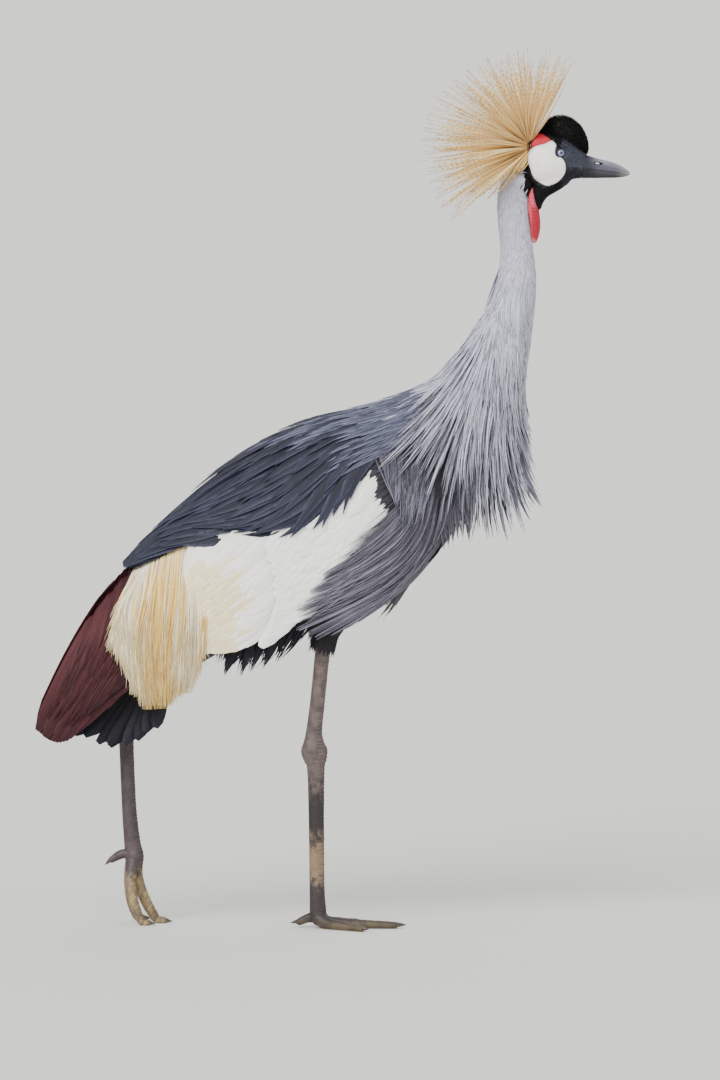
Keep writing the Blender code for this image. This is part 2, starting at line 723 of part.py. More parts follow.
def gape(side, finish):
    """A thin wedge that cuts the mouth line into the side of the head."""
    corners = [Vector((x, side * y, z + up)) for x, z, inner in GAPE for y in (inner, 0.03)
               for up in (-GAPE_HALF, GAPE_HALF)]
    faces = [(0, 1, 3, 2), (4, 6, 7, 5), (0, 4, 5, 1), (2, 3, 7, 6), (0, 2, 6, 4), (1, 5, 7, 3)]
    return mesh_object("gape", corners, faces, finish)


def head_and_face(trunk_nodes):
    black = material("face_black", (0.02, 0.02, 0.024), 0.7)
    velvet = material("cap_velvet", (0.006, 0.006, 0.008), 0.95)
    horn = material("bill_horn", BILL_GREY, 0.35)
    red = material("throat_red", RED, 0.45)
    white = material("cheek_white", (0.85, 0.80, 0.79), 0.5)
    blue = material("eye_blue", EYE_BLUE, 0.08)
    head = head_form("head", black)
    throat_stops = (
        ((0.2640, 0.0, 0.9420), 0.017, 0.013),
        ((0.2585, 0.0, 0.9290), 0.0125, 0.011),
        ((0.2555, 0.0, 0.9200), 0.0075, 0.008),
    )
    combine(head, [limb("throat", throat_stops, black, 12)] + [lid(y, black) for y in SIDES.values()], "UNION")
    combine(head, [gape(y, black) for y in SIDES.values()], "DIFFERENCE")
    cut_clear(trunk_nodes["neck_upper"], [head])
    eyes = [ball("eye_" + n, Vector((EYE_PLACE.x, y * EYE_PLACE.y, EYE_PLACE.z)), EYE_RADIUS, blue)
            for n, y in SIDES.items()]
    cut_clear(head, eyes)
    cap_rings = [ellipse_ring(Vector((x, 0.0, z)), LEFT_WAY * wide, UP * tall, 12)
                 for x, z, tall, wide in (spread(CAP_ROWS, k / 8) for k in range(9))]
    cap = loft("crown_cap", cap_rings, velvet)
    cut_clear(cap, [head, *eyes])
    upper = bill_half("bill_upper", horn, True)
    lower = bill_half("bill_lower", horn, False)
    for half in (upper, lower):
        cut_clear(half, [head])
    cut_clear(upper, [cap])
    slots = [limb("slot", ((NOSTRIL + Vector((-0.004, y * 0.0045, 0.0)), 0.0011, 0.0022),
                           (NOSTRIL + Vector((0.004, y * 0.0040, -0.0006)), 0.0009, 0.0020)), horn, 8)
             for y in SIDES.values()]
    combine(upper, slots, "DIFFERENCE")
    wattle = loft("throat_wattle", [wattle_ring(*row) for row in WATTLE_ROWS], red)
    cut_clear(wattle, [head, trunk_nodes["neck_upper"], trunk_nodes["neck_middle"]])
    made = {"head": head, "crown_cap": cap}
    for side_name, y in SIDES.items():
        made["cheek_" + side_name] = cheek("cheek_" + side_name, y, white)
    return made


# The crest fans out from the back of the head. Angles are in the side plane, from straight ahead.
CREST_ROOT = Vector((0.2420, 0.0, 0.9730))
CREST_MIDDLE_ANGLE, CREST_HALF_ANGLE, CREST_SIDE_ANGLE = 142.0, 80.0, 62.0
CREST_LENGTH = 0.120


def crest_way(along_share, out_share):
    """The direction of a bristle, from its shares of the fan's half angles."""
    along = math.radians(CREST_MIDDLE_ANGLE + CREST_HALF_ANGLE * along_share)
    out = math.radians(CREST_SIDE_ANGLE * out_share)
    return Vector((math.cos(along) * math.cos(out), math.sin(out), math.sin(along) * math.cos(out)))


# The pad of skin over the back of the head that the bristles grow from: its middle and half sizes.
CREST_PAD = Vector((0.2470, 0.0, 0.9740))
CREST_PAD_SIZES = Vector((0.0125, 0.0200, 0.0260))
BRISTLES = 84
CHEEK_ROOM = 0.0045
BRISTLE_HALF, BRISTLE_SUNK = 0.0011, 0.0028


def bristle(root, tip, half, finish):
    """A thin stiff spine, three sided."""
    way = (tip - root).normalized()
    across = way.cross(LEFT_WAY if abs(way.y) < 0.8 else UP).normalized()
    up = across.cross(way).normalized()
    return loft("bristle", [ellipse_ring(root, across * half, up * half, 3)], finish, tip=tip)


def crest(head_nodes, neck):
    """The pad and its bristles, spread evenly over the fan."""
    gold = material("crest_gold", GOLD, 0.6)
    pad = ball("crest", Vector(), 1.0, gold, 12, 9)
    for v in pad.data.vertices:
        v.co = CREST_PAD + v.co * CREST_PAD_SIZES
    cut_clear(pad, [*head_nodes.values(), neck])
    cheeks = [v.co for name, thing in head_nodes.items() if name.startswith("cheek") for v in thing.data.vertices]
    spines = []
    golden_turn = math.pi * (3 - math.sqrt(5))
    for k in range(BRISTLES):
        far = math.sqrt((k + 0.5) / BRISTLES)
        way = crest_way(far * math.cos(k * golden_turn), far * math.sin(k * golden_turn))
        surface = 1 / Vector([w / size for w, size in zip(way, CREST_PAD_SIZES)]).length
        start = CREST_PAD + way * (surface - BRISTLE_SUNK)
        if min((spot - start - way * max((spot - start).dot(way), 0.0)).length for spot in cheeks) < CHEEK_ROOM:
            continue
        spines.append(bristle(start, CREST_ROOT + way * CREST_LENGTH * (1 + jitter(0.045)), BRISTLE_HALF, gold))
    combine(pad, spines, "UNION")


# Lines of the side view, as x and z, from the tail forward. Coverts lie between the first two.
COVERT_TOP = ((-0.184, 0.492), (-0.150, 0.520), (-0.087, 0.525), (-0.040, 0.532), (0.010, 0.560), (0.050, 0.603))
COVERT_EDGE = ((-0.170, 0.352), (-0.135, 0.352), (-0.096, 0.360), (-0.040, 0.390), (0.020, 0.425), (0.075, 0.510))
COVERT_THIN, COVERT_THICK = 0.0028, 0.0055
# A tier of feathers: where they start and end between the two lines, how many, their half width and how far back
# their tips lie.
COVERT_TIERS = ((0.50, 1.05, 5, 0.0232, 0.092), (0.30, 0.72, 5, 0.0218, 0.071))
# Golden plumes hang over the chestnut feathers behind the coverts.
PLUME_TOP = ((-0.258, 0.428), (-0.240, 0.450), (-0.215, 0.474), (-0.192, 0.487))
PLUME_MIDDLE = ((-0.266, 0.400), (-0.243, 0.385), (-0.213, 0.370), (-0.184, 0.370))
PLUME_TIPS = ((-0.276, 0.360), (-0.247, 0.306), (-0.222, 0.280), (-0.186, 0.292))
PLUMES = 10
# Chestnut feathers of the folded wing.
SECONDARY_TOP = ((-0.290, 0.412), (-0.262, 0.446), (-0.232, 0.472), (-0.205, 0.485))
SECONDARY_MIDDLE = ((-0.325, 0.330), (-0.285, 0.335), (-0.245, 0.350), (-0.200, 0.372))
SECONDARY_TIPS = ((-0.366, 0.244), (-0.335, 0.247), (-0.305, 0.285), (-0.265, 0.322))
SECONDARIES = 6
SCAPULAR_RIDGE = ((9.9, 0.0), (8.0, 0.0), (6.0, 0.0), (4.0, 0.0), (2.6, 0.0))
SCAPULAR_EDGE = ((0.050, 0.600), (-0.010, 0.535), (-0.100, 0.510), (-0.175, 0.508), (-0.253, 0.448))
SCAPULAR_LIFTS = (0.0050, 0.0088)
# A tier of scapulars: the first and last root along the back, where they start and end between the ridge and the
# edge, how many, their half width, and how far along the back they reach.
SCAPULAR_TIERS = ((0.0, 0.72, 0.60, 1.10, 8, 0.0105, 0.22), (0.02, 0.60, 0.22, 0.68, 5, 0.0100, 0.26))
MIDLINE_GAP = 0.0006


def back_spot(r, c, side):
    """The station and angle at a share r from shoulder to tail and a share c from the ridge down."""
    r = min(r, 1.0)
    top = spread(SCAPULAR_RIDGE, r)
    low = side_spot(*spread(SCAPULAR_EDGE, r), side)
    return top[0] + (low[0] - top[0]) * c, low[1] * c


def scapulars(name, side, finish):
    """The dark cloak over one side of the back, from the ridge down to the white of the wing, with its feathers."""
    rows, columns = 8, 4
    grids = []
    for lift in (SCAPULAR_LIFTS[1], SCAPULAR_LIFTS[0]):
        grid = []
        for r in range(rows + 1):
            grid.append([on_body(*back_spot(r / rows, c / columns, side), lift, True) for c in range(columns + 1)])
            grid[-1][0].y = 0.0
        grids.append(grid)
    base = slab(name, grids[0], grids[1], finish)
    feathers = []
    for first, last, start, end, count, half, reach in SCAPULAR_TIERS:
        for k in range(count):
            r = first + (last - first) * k / (count - 1)
            path, normals = lay(back_spot(r, start, side), back_spot(r + reach, end + jitter(0.03), side),
                                (0.0060, 0.0103, 0.0108, 0.0106), 0.0, 3)
            feathers.append(vane(path, normals, half, 0.0012, finish, (0.6, 1.0, 0.8), 0.0, -0.08 * side))
    combine(base, feathers, "UNION")
    keep_side(base, side, finish)


def covert_lifts(r, c):
    """How far the coverts' inner and outer faces stand off: thin under the scapulars and at the front."""
    rise = min(max(3 * (c - 0.2), 0.0), 1.0)
    return 0.0004, COVERT_THIN + COVERT_THICK * rise * (1 - 0.75 * r * r)


def secondaries(name, side, finish):
    """The long chestnut feathers of the folded wing, innermost of the wing's tiers."""
    base = sheet(name, SECONDARY_TOP, SECONDARY_MIDDLE, side, lambda r, c: (-0.0100, -0.0060), finish, 4, 2)
    feathers = []
    for k in range(SECONDARIES):
        share = (k + 0.5) / SECONDARIES
        start = wing_spot(SECONDARY_TOP, SECONDARY_MIDDLE, share, 0.5, side)
        end = side_spot(*spread(SECONDARY_TIPS, share), side)
        path, normals = lay(start, end, (-0.0075, -0.0050, -0.0046), 0.0, 2)
        feathers.append(vane(path, normals, 0.0125, 0.0014, finish, (0.7, 1.0, 0.9), 0.45, 0.16 * side))
    combine(base, feathers, "UNION")
    keep_side(base, side, finish)


def plumes(name, side, finish):
    """The loose golden plumes that hang behind the coverts."""
    base = sheet(name, PLUME_TOP, PLUME_MIDDLE, side,
                 lambda r, c: (0.0004, 0.0028 + 0.0012 * min(1.0, 3 * c)), finish, 4, 2)
    locks = []
    for k in range(PLUMES):
        share = (k + 0.5) / PLUMES
        root = on_body(*wing_spot(PLUME_TOP, PLUME_MIDDLE, share, 0.6 + jitter(0.12), side), 0.0, True)
        tip = spread(PLUME_TIPS, share)
        tip = (tip[0] + jitter(0.003), tip[1] + jitter(0.012))
        path, normals = drape((root.x, root.z), tip, side, (0.0018, 0.0050, 0.0052), 0.0, jitter(0.03), 3)
        locks.append(vane(path, normals, 0.0062, 0.0012, finish, (0.5, 1.0, 0.8), 0.0, LOCK_ROLL * side))
    combine(base, locks, "UNION")


def coverts(name, side, finish):
    """The broad white feathers over the folded wing."""
    base = sheet(name, COVERT_TOP, COVERT_EDGE, side, covert_lifts, finish, 7, 4)
    feathers = []
    for start, end, count, half, lean in COVERT_TIERS:
        for k in range(count):
            r = 0.07 + 0.86 * k / (count - 1)
            back = max(r - lean, 0.02)
            lifts = (covert_lifts(r, start)[1] - 0.0025, covert_lifts(r, 0.5 * (start + end))[1] + 0.0016,
                     covert_lifts(back, end)[1] + 0.0016)
            path, normals = lay(wing_spot(COVERT_TOP, COVERT_EDGE, r, start, side),
                                wing_spot(COVERT_TOP, COVERT_EDGE, back, end, side), lifts, 0.0, 3)
            feathers.append(vane(path, normals, half, 0.0012, finish, (0.6, 1.0, 0.9), 0.5, 0.055 * side))
    combine(base, feathers, "UNION")


def wings():
    dark = material("scapular_slate", SLATE, 0.7)
    white = material("covert_white", WHITE, 0.7)
    straw = material("plume_straw", STRAW, 0.7)
    chestnut = material("secondary_chestnut", CHESTNUT, 0.6)
    for side_name, side in SIDES.items():
        secondaries("secondaries_" + side_name, side, chestnut)
        plumes("wing_plumes_" + side_name, side, straw)
        coverts("wing_coverts_" + side_name, side, white)
        scapulars("scapulars_" + side_name, side, dark)


TAIL_FEATHERS = 7


def tail(torso):
    """The black tail feathers, fanned like a roof under the folded wings."""
    black = material("tail_black", (0.010, 0.011, 0.016), 0.55)
    stops = (((-0.2405, 0.0, 0.3500), 0.012, 0.012), ((-0.262, 0.0, 0.3300), 0.012, 0.018),
             ((-0.275, 0.0, 0.308), 0.010, 0.020))
    base = limb("tail", stops, black, 12)
    feathers = []
    for k in range(TAIL_FEATHERS):
        share = k / (TAIL_FEATHERS - 1) * 2 - 1
        root = Vector((-0.264, 0.012 * share, 0.325 - 0.004 * abs(share)))
        tip = Vector((-0.308 + 0.082 * abs(share), 0.025 * share, 0.234 + 0.026 * abs(share)))
        path = [root.lerp(tip, i / 2) for i in range(3)]
        normal = Vector((-0.7 + 0.6 * abs(share), share, 0.1)).normalized()
        feathers.append(vane(path, [normal] * 3, 0.0095, 0.0018, black, (0.6, 1.0, 1.0), 0.75, 0.0))
    combine(base, feathers, "UNION")
    cut_clear(base, [torso])


# Legs. Each row is a place, then the half size in the side plane and across it.
RIGHT_THIGH = (((0.012, -0.036, 0.470), 0.024, 0.014), ((0.006, -0.036, 0.430), 0.028, 0.016),
               ((-0.002, -0.035, 0.395), 0.022, 0.015), ((-0.008, -0.034, 0.370), 0.013, 0.012))
RIGHT_SHANK = (((-0.0085, -0.034, 0.3697), 0.0105, 0.009), ((-0.013, -0.030, 0.335), 0.0093, 0.0085),
               ((-0.018, -0.026, 0.285), 0.0093, 0.0085), ((-0.022, -0.023, 0.250), 0.0100, 0.0090),
               ((-0.0225, -0.0215, 0.236), 0.0125, 0.0110))
RIGHT_TARSUS = (((-0.0225, -0.0215, 0.2357), 0.0130, 0.0112), ((-0.0220, -0.021, 0.224), 0.0165, 0.0120),
                ((-0.0205, -0.020, 0.211), 0.0140, 0.0110), ((-0.0200, -0.0195, 0.200), 0.0110, 0.0090),
                ((-0.0195, -0.0165, 0.150), 0.0098, 0.0080), ((-0.0190, -0.013, 0.090), 0.0095, 0.0080),
                ((-0.0185, -0.011, 0.045), 0.0095, 0.0085), ((-0.0175, -0.0095, 0.022), 0.0105, 0.0095))
LEFT_THIGH = (((-0.020, 0.034, 0.450), 0.026, 0.014), ((-0.035, 0.035, 0.415), 0.028, 0.015),
              ((-0.066, 0.037, 0.386), 0.020, 0.014), ((-0.090, 0.039, 0.371), 0.012, 0.011))
LEFT_SHANK = (((-0.0903, 0.039, 0.3708), 0.0100, 0.009), ((-0.130, 0.042, 0.348), 0.0092, 0.0085),
              ((-0.190, 0.046, 0.3135), 0.0092, 0.0085), ((-0.232, 0.0480, 0.2895), 0.0098, 0.0090),
              ((-0.2475, 0.0485, 0.2810), 0.0125, 0.0105))
LEFT_TARSUS = (((-0.2478, 0.0485, 0.2808), 0.0128, 0.0106), ((-0.2560, 0.0485, 0.2730), 0.0150, 0.0112),
               ((-0.2590, 0.0485, 0.2580), 0.0125, 0.0105), ((-0.2580, 0.0480, 0.2400), 0.0095, 0.0088),
               ((-0.2560, 0.0475, 0.1850), 0.0090, 0.0080), ((-0.2535, 0.0465, 0.1350), 0.0093, 0.0080),
               ((-0.2500, 0.0455, 0.1000), 0.0105, 0.0085), ((-0.2480, 0.0450, 0.0860), 0.0120, 0.0095))


def toe(stops, finish, count=7):
    """A toe through stops of place and half size, flat underneath where it stands."""
    places = [Vector(p) for p, _ in stops]
    rings = []
    for i, (place, half) in enumerate(stops):
        ahead = (places[min(i + 1, len(places) - 1)] - places[max(i - 1, 0)]).normalized()
        across = ahead.cross(UP).normalized()
        up = across.cross(ahead).normalized()
        ring = ellipse_ring(Vector(place), across * half, up * half * 0.85, count)
        for p in ring:
            p.z = max(p.z, 0.0)
        rings.append(ring)
    return loft("toe", rings, finish)


CLAW_RISE = 0.15


def claw(name, stops, way, length, half, finish, dip=0.3):
    """A curved claw that grows from the end of a toe."""
    end, before = Vector(stops[-1][0]), Vector(stops[-2][0])
    ahead, way = (end - before).normalized(), Vector(way).normalized()
    root = end + ahead * GAP + UP * half * CLAW_RISE
    rings = []
    for k in range(3):
        share = k / 3
        along = ahead.lerp(way, min(2 * share, 1.0)).normalized()
        across = along.cross(UP).normalized()
        centre = root + way * length * share - UP * length * dip * share * share
        size = half * (1 - 0.75 * share)
        rings.append(ellipse_ring(centre, across * size * 0.75, across.cross(along) * size, 6))
    tip = root + way * length - UP * length * dip
    for p in [tip, *(p for ring in rings for p in ring)]:
        p.z = max(p.z, 0.0)
    return loft(name, rings, finish, tip=tip)


# Each toe's stops are places and half sizes, from the foot's joint to where the claw starts. A claw is its way, its
# length and its half thickness.
RIGHT_TOES = {
    "middle": (((-0.0175, -0.0095, 0.0140), 0.0100), ((-0.004, -0.0105, 0.0070), 0.0088),
               ((0.022, -0.0125, 0.0052), 0.0068), ((0.050, -0.0145, 0.0046), 0.0062),
               ((0.078, -0.0155, 0.0035), 0.0048)),
    "outer": (((-0.0175, -0.0115, 0.0130), 0.0095), ((-0.004, -0.0205, 0.0062), 0.0080),
              ((0.016, -0.0345, 0.0046), 0.0062), ((0.036, -0.0485, 0.0033), 0.0046)),
    "inner": (((-0.0175, -0.0075, 0.0130), 0.0090), ((-0.004, 0.0015, 0.0060), 0.0078),
              ((0.012, 0.0145, 0.0045), 0.0060), ((0.029, 0.0265, 0.0033), 0.0046)),
    "hind": (((-0.0185, -0.0085, 0.0140), 0.0085), ((-0.030, -0.0065, 0.0120), 0.0062),
             ((-0.041, -0.0045, 0.0070), 0.0044)),
}
RIGHT_CLAWS = {
    "middle": ((1.0, -0.02, 0.10), 0.015, 0.0040),
    "outer": ((0.8, -0.55, 0.05), 0.012, 0.0036),
    "inner": ((0.8, 0.55, 0.05), 0.012, 0.0036),
    "hind": ((-1.0, 0.15, -0.10), 0.011, 0.0034),
}
LEFT_TOES = {
    "middle": (((-0.2480, 0.0450, 0.0790), 0.0105), ((-0.2440, 0.0445, 0.0560), 0.0082),
               ((-0.2345, 0.0435, 0.0300), 0.0068), ((-0.2230, 0.0425, 0.0090), 0.0060),
               ((-0.2175, 0.0420, 0.0040), 0.0053), ((-0.2110, 0.0415, 0.0030), 0.0048)),
    "outer": (((-0.2490, 0.0465, 0.0790), 0.0098), ((-0.2540, 0.0565, 0.0540), 0.0076),
              ((-0.2525, 0.0645, 0.0290), 0.0064), ((-0.2465, 0.0680, 0.0085), 0.0056),
              ((-0.2425, 0.0695, 0.0038), 0.0050), ((-0.2375, 0.0710, 0.0030), 0.0046)),
    "inner": (((-0.2485, 0.0430, 0.0790), 0.0095), ((-0.2520, 0.0325, 0.0550), 0.0074),
              ((-0.2485, 0.0235, 0.0300), 0.0062), ((-0.2405, 0.0188, 0.0085), 0.0054),
              ((-0.2360, 0.0176, 0.0038), 0.0050), ((-0.2310, 0.0164, 0.0030), 0.0046)),
    "hind": (((-0.2500, 0.0445, 0.0860), 0.0085), ((-0.2630, 0.0435, 0.0870), 0.0060),
             ((-0.2760, 0.0425, 0.0800), 0.0044)),
}
LEFT_CLAWS = {
    "middle": ((1.0, -0.05, -0.05), 0.011, 0.0038),
    "outer": ((0.9, 0.3, -0.05), 0.010, 0.0036),
    "inner": ((0.9, -0.2, -0.05), 0.010, 0.0036),
    "hind": ((-0.8, 0.0, -0.60), 0.011, 0.0034),
}


def legs(torso):
    grey = material("leg_grey", LEG_GREY, 0.75)
    dark = material("thigh_black", BLACK, 0.85)
    claws = material("claw_dark", (0.03, 0.026, 0.024), 0.4)
    rows = {
        "right": (RIGHT_THIGH, RIGHT_SHANK, RIGHT_TARSUS, RIGHT_TOES, RIGHT_CLAWS),
        "left": (LEFT_THIGH, LEFT_SHANK, LEFT_TARSUS, LEFT_TOES, LEFT_CLAWS),
    }
    for side_name, (thigh_rows, shank_rows, tarsus_rows, toes, claw_rows) in rows.items():
        thigh = limb("thigh_" + side_name, thigh_rows, dark, 16)
        cut_clear(thigh, [torso])
        shank = limb("shank_" + side_name, shank_rows, grey)
        tarsus = limb("tarsus_" + side_name, tarsus_rows, grey)
        cut_clear(shank, [thigh])
        cut_clear(shank, [tarsus])
        made = [toe(stops, grey) for stops in toes.values()]
        foot = made[0]
        foot.name = "foot_" + side_name
        combine(foot, made[1:], "UNION")
        cut_clear(foot, [tarsus])
        for toe_name, (way, length, half) in claw_rows.items():
            claw("claw_" + toe_name + "_" + side_name, toes[toe_name], way, length, half, claws)


def build():
    random.seed(7)
    trunk_nodes = trunk()
    head_nodes = head_and_face(trunk_nodes)
    crest(head_nodes, trunk_nodes["neck_upper"])
    wings()
    tail(trunk_nodes["torso"])
    legs(trunk_nodes["torso"])


PLACES = [(k / 20, body_frame(k / 20)[0]) for k in range(int(LAST_STATION) * 20 + 1)]
clear_scene()
PARTS = bpy.data.collections.new("grey_crowned_crane")
bpy.context.scene.collection.children.link(PARTS)
build()
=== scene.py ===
# %% [markdown]
# A grey crowned crane, dressed over its solid frame
# The imported model gives the crane's true size and pose. This lesson covers it with skin, horn and several
# thousand feathers. Everything is in metres, the bird faces +X, and its right side, at -Y, is the one that
# shows.

# %% Load the frame
import json
import math

import bmesh
import bpy
import numpy as np
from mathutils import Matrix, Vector
from mathutils.bvhtree import BVHTree

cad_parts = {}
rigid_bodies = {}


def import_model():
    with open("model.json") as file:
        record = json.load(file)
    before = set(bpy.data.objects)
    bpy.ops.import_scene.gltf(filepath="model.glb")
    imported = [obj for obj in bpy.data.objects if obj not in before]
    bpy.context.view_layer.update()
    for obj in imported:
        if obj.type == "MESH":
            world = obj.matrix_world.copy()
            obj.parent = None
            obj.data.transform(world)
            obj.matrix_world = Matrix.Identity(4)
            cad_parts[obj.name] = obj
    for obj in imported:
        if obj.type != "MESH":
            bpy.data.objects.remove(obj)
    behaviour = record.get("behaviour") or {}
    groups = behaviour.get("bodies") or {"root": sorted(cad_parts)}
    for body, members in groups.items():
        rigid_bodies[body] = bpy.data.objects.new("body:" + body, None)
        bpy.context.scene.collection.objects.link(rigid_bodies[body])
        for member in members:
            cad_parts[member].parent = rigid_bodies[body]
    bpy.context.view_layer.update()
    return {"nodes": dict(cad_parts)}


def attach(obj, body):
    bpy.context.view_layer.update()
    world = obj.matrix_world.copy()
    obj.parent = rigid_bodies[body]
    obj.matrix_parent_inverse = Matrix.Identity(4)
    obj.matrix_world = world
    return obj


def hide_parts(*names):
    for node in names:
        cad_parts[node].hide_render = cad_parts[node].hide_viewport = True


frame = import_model()
chance = np.random.default_rng(11)
SIDES = {"right": -1.0, "left": 1.0}

# %% [markdown]
# The body line
# A bird's body is one long curved form, so one line carries it all, from the tail's end to the back of the
# head. Each row is a place in the side plane, x and z, the flesh's reach above, below and to each side, and
# the reach of the cloak of folded wings over it. A smooth curve through the rows gives every place between
# them.

# %% Rows of the body and smooth curves through rows
def metres(*rows):
    """Rows of a table, given in tenths of a millimetre."""
    return np.array(rows) / 1e4


BODY_LINE = metres(
    (-3300, 2050, 100, 100, 100, 440, 500, 440), (-3120, 2480, 140, 120, 140, 620, 700, 540),
    (-2850, 2980, 200, 140, 180, 690, 800, 620), (-2400, 3490, 360, 180, 240, 750, 900, 670),
    (-2150, 3680, 580, 280, 360, 830, 980, 700), (-1710, 3990, 780, 380, 500, 970, 1080, 740),
    (-1210, 4340, 960, 640, 640, 1070, 1250, 790), (-650, 4730, 1110, 920, 750, 1160, 1380, 820),
    (-90, 5090, 1120, 1070, 790, 1160, 1360, 840), (410, 5420, 1020, 920, 770, 1050, 1120, 800),
    (910, 5760, 820, 740, 700, 840, 820, 720), (1320, 6080, 670, 600, 600, 690, 620, 620),
    (1680, 6440, 550, 520, 500, 570, 540, 520), (1940, 6860, 450, 420, 400, 470, 440, 420),
    (2120, 7310, 340, 310, 310, 360, 330, 330), (2250, 7740, 235, 235, 235, 250, 245, 245),
    (2305, 8150, 198, 198, 198, 212, 210, 208), (2295, 8520, 160, 160, 158, 172, 172, 170),
    (2255, 8900, 156, 156, 154, 168, 168, 164), (2265, 9180, 160, 155, 150, 170, 165, 160),
    (2370, 9460, 155, 155, 150, 165, 165, 160),
)
LAST_STATION = len(BODY_LINE) - 1.0
TORSO_SQUARENESS, NECK_SQUARENESS = 2.5, 2.0
SQUARE_UNTIL, ROUND_FROM = 10.0, 13.0


def eased(a, b, c, d, f):
    """The smooth curve at share f of the way from b to c, with a before them and d after."""
    return 0.5 * (2 * b + (c - a) * f + (2 * a - 5 * b + 4 * c - d) * f**2 + (3 * b - a - 3 * c + d) * f**3)


def through(rows, t):
    """Points on the smooth curve through the rows, at t counted in rows."""
    rows = np.asarray(rows, float)
    last = len(rows) - 1
    t = np.clip(np.asarray(t, float), 0.0, last)
    i = np.minimum(t.astype(int), last - 1)
    return eased(*(rows[np.clip(i + k, 0, last)] for k in (-1, 0, 1, 2)), (t - i)[..., None])


def spread(rows, share):
    """Points at a share from 0 to 1 of the curve through the rows."""
    return through(rows, np.asarray(share, float) * (len(rows) - 1))


def unit(v):
    return v / np.maximum(np.linalg.norm(v, axis=-1, keepdims=True), 1e-12)


def line_at(s):
    """The body line's place, way forward and metres for one row, and the sizes, at stations s."""
    row = through(BODY_LINE, s)
    step = through(BODY_LINE[:, :2], np.asarray(s) + 0.05) - through(BODY_LINE[:, :2], np.asarray(s) - 0.05)
    return row[..., :2], unit(step), np.linalg.norm(step, axis=-1) / 0.1, row[..., 2:]


def power_at(s):
    """The power of the section's outline: 2 for the round neck, more for the squarer torso."""
    share = np.clip((s - SQUARE_UNTIL) / (ROUND_FROM - SQUARE_UNTIL), 0, 1)
    return TORSO_SQUARENESS + (NECK_SQUARENESS - TORSO_SQUARENESS) * share


def on_body(s, angle, lift=0.0, cloak=True):
    """Points on the body. The angle is 0 along the back, 180 along the belly, and above 0 on the left."""
    s, angle, lift = np.broadcast_arrays(np.asarray(s, float), np.asarray(angle, float),
                                         np.asarray(lift, float))
    place, forward, _, sizes = line_at(s)
    power = 2 / power_at(s)
    cosine, sine = np.cos(np.radians(angle)), np.sin(np.radians(angle))
    first = 3 if cloak else 0
    tall = np.where(cosine >= 0, sizes[..., first], sizes[..., first + 1])
    high = np.sign(cosine) * np.abs(cosine) ** power * (tall + lift)
    out = np.sign(sine) * np.abs(sine) ** power * (sizes[..., first + 2] + lift)
    return np.stack([place[..., 0] - forward[..., 1] * high, out, place[..., 1] + forward[..., 0] * high], -1)


print("body line in mm:", round(1000 * float(np.sum(line_at(np.arange(0, LAST_STATION, 0.1))[2]) * 0.1)))

# %% [markdown]
# From the side view to the body
# Feather tracts are easiest to draw in the side view, as lines of x and z. A place there is turned into a
# station and an angle: the nearest station of the body line, and the height above it as a share of the
# section's reach.

# %% Places of the side view
STATIONS = np.arange(0, LAST_STATION + 0.01, 0.05)
STATION_PLACES = line_at(STATIONS)[0]


def side_height(xz):
    """The nearest stations to side-view places, their heights over the body line and the cloak's reach."""
    xz = np.asarray(xz, float)
    gaps = np.linalg.norm(xz[..., None, :] - STATION_PLACES, axis=-1)
    s = STATIONS[np.argmin(gaps, axis=-1)]
    for _ in range(3):
        place, forward, speed, _ = line_at(s)
        s = np.clip(s + np.sum((xz - place) * forward, -1) / np.maximum(speed, 1e-6), 0, LAST_STATION)
    place, forward, _, sizes = line_at(s)
    height = (xz[..., 0] - place[..., 0]) * -forward[..., 1] + (xz[..., 1] - place[..., 1]) * forward[..., 0]
    return s, height, np.where(height >= 0, sizes[..., 3], sizes[..., 4]), sizes[..., 5]


def side_spot(xz, side):
    """Station and angle of the cloak's surface that the side view shows at each place."""
    s, height, tall, _ = side_height(xz)
    cosine = np.sign(height) * np.clip(np.abs(height) / tall, 0, 1) ** (power_at(s) / 2)
    return np.stack([s, side * np.degrees(np.arccos(cosine))], -1)


def on_side(xz, side, lift=0.0):
    """The point of the cloak that the side view shows at each place, pushed out by lift."""
    s, height, tall, wide = side_height(xz)
    share = np.clip(np.abs(height) / (tall + lift), 0, 1)
    power = power_at(s)
    out = (wide + lift) * (1 - share**power) ** (1 / power)
    return np.stack([xz[..., 0], side * out, xz[..., 1]], -1)


# %% [markdown]
# Paths that feathers follow
# A feather starts in the skin and runs back over the body, a little higher at its tip, so that it lies on
# the next one like a shingle. Two kinds of path are enough: one stays on the body from a root to a tip, and
# one is drawn in the side view and hangs free once it passes the body's edge.

# %% Laid and draped paths
def rising(lifts, steps):
    return spread(np.array(lifts)[:, None], np.linspace(0, 1, steps + 1))[:, 0]


def laid(roots, tips, lifts, steps=7, bow=0.0, extra=0.0, cloak=True):
    """Paths over the body from (station, angle) to (station, angle), and the surface's way up along them."""
    t = np.linspace(0, 1, steps + 1)
    spots = roots[:, None] + (tips - roots)[:, None] * t[:, None]
    spots[..., 1] += np.asarray(bow)[..., None] * 4 * t * (1 - t)
    lift = rising(lifts, steps) + np.asarray(extra)[..., None] * t
    path = on_body(spots[..., 0], spots[..., 1], lift, cloak)
    return path, unit(on_body(spots[..., 0], spots[..., 1], lift + 0.004, cloak) - path)


def straight(roots, tips, steps=8, bow=0.0):
    """Side-view places from each root to its tip, arched to one side by the bow."""
    t = np.linspace(0, 1, steps + 1)
    slope = tips - roots
    arch = np.asarray(bow)[..., None] * 4 * t * (1 - t)
    across = np.stack([-slope[:, 1], slope[:, 0]], -1)
    return roots[:, None] + slope[:, None] * t[:, None] + across[:, None] * arch[..., None]


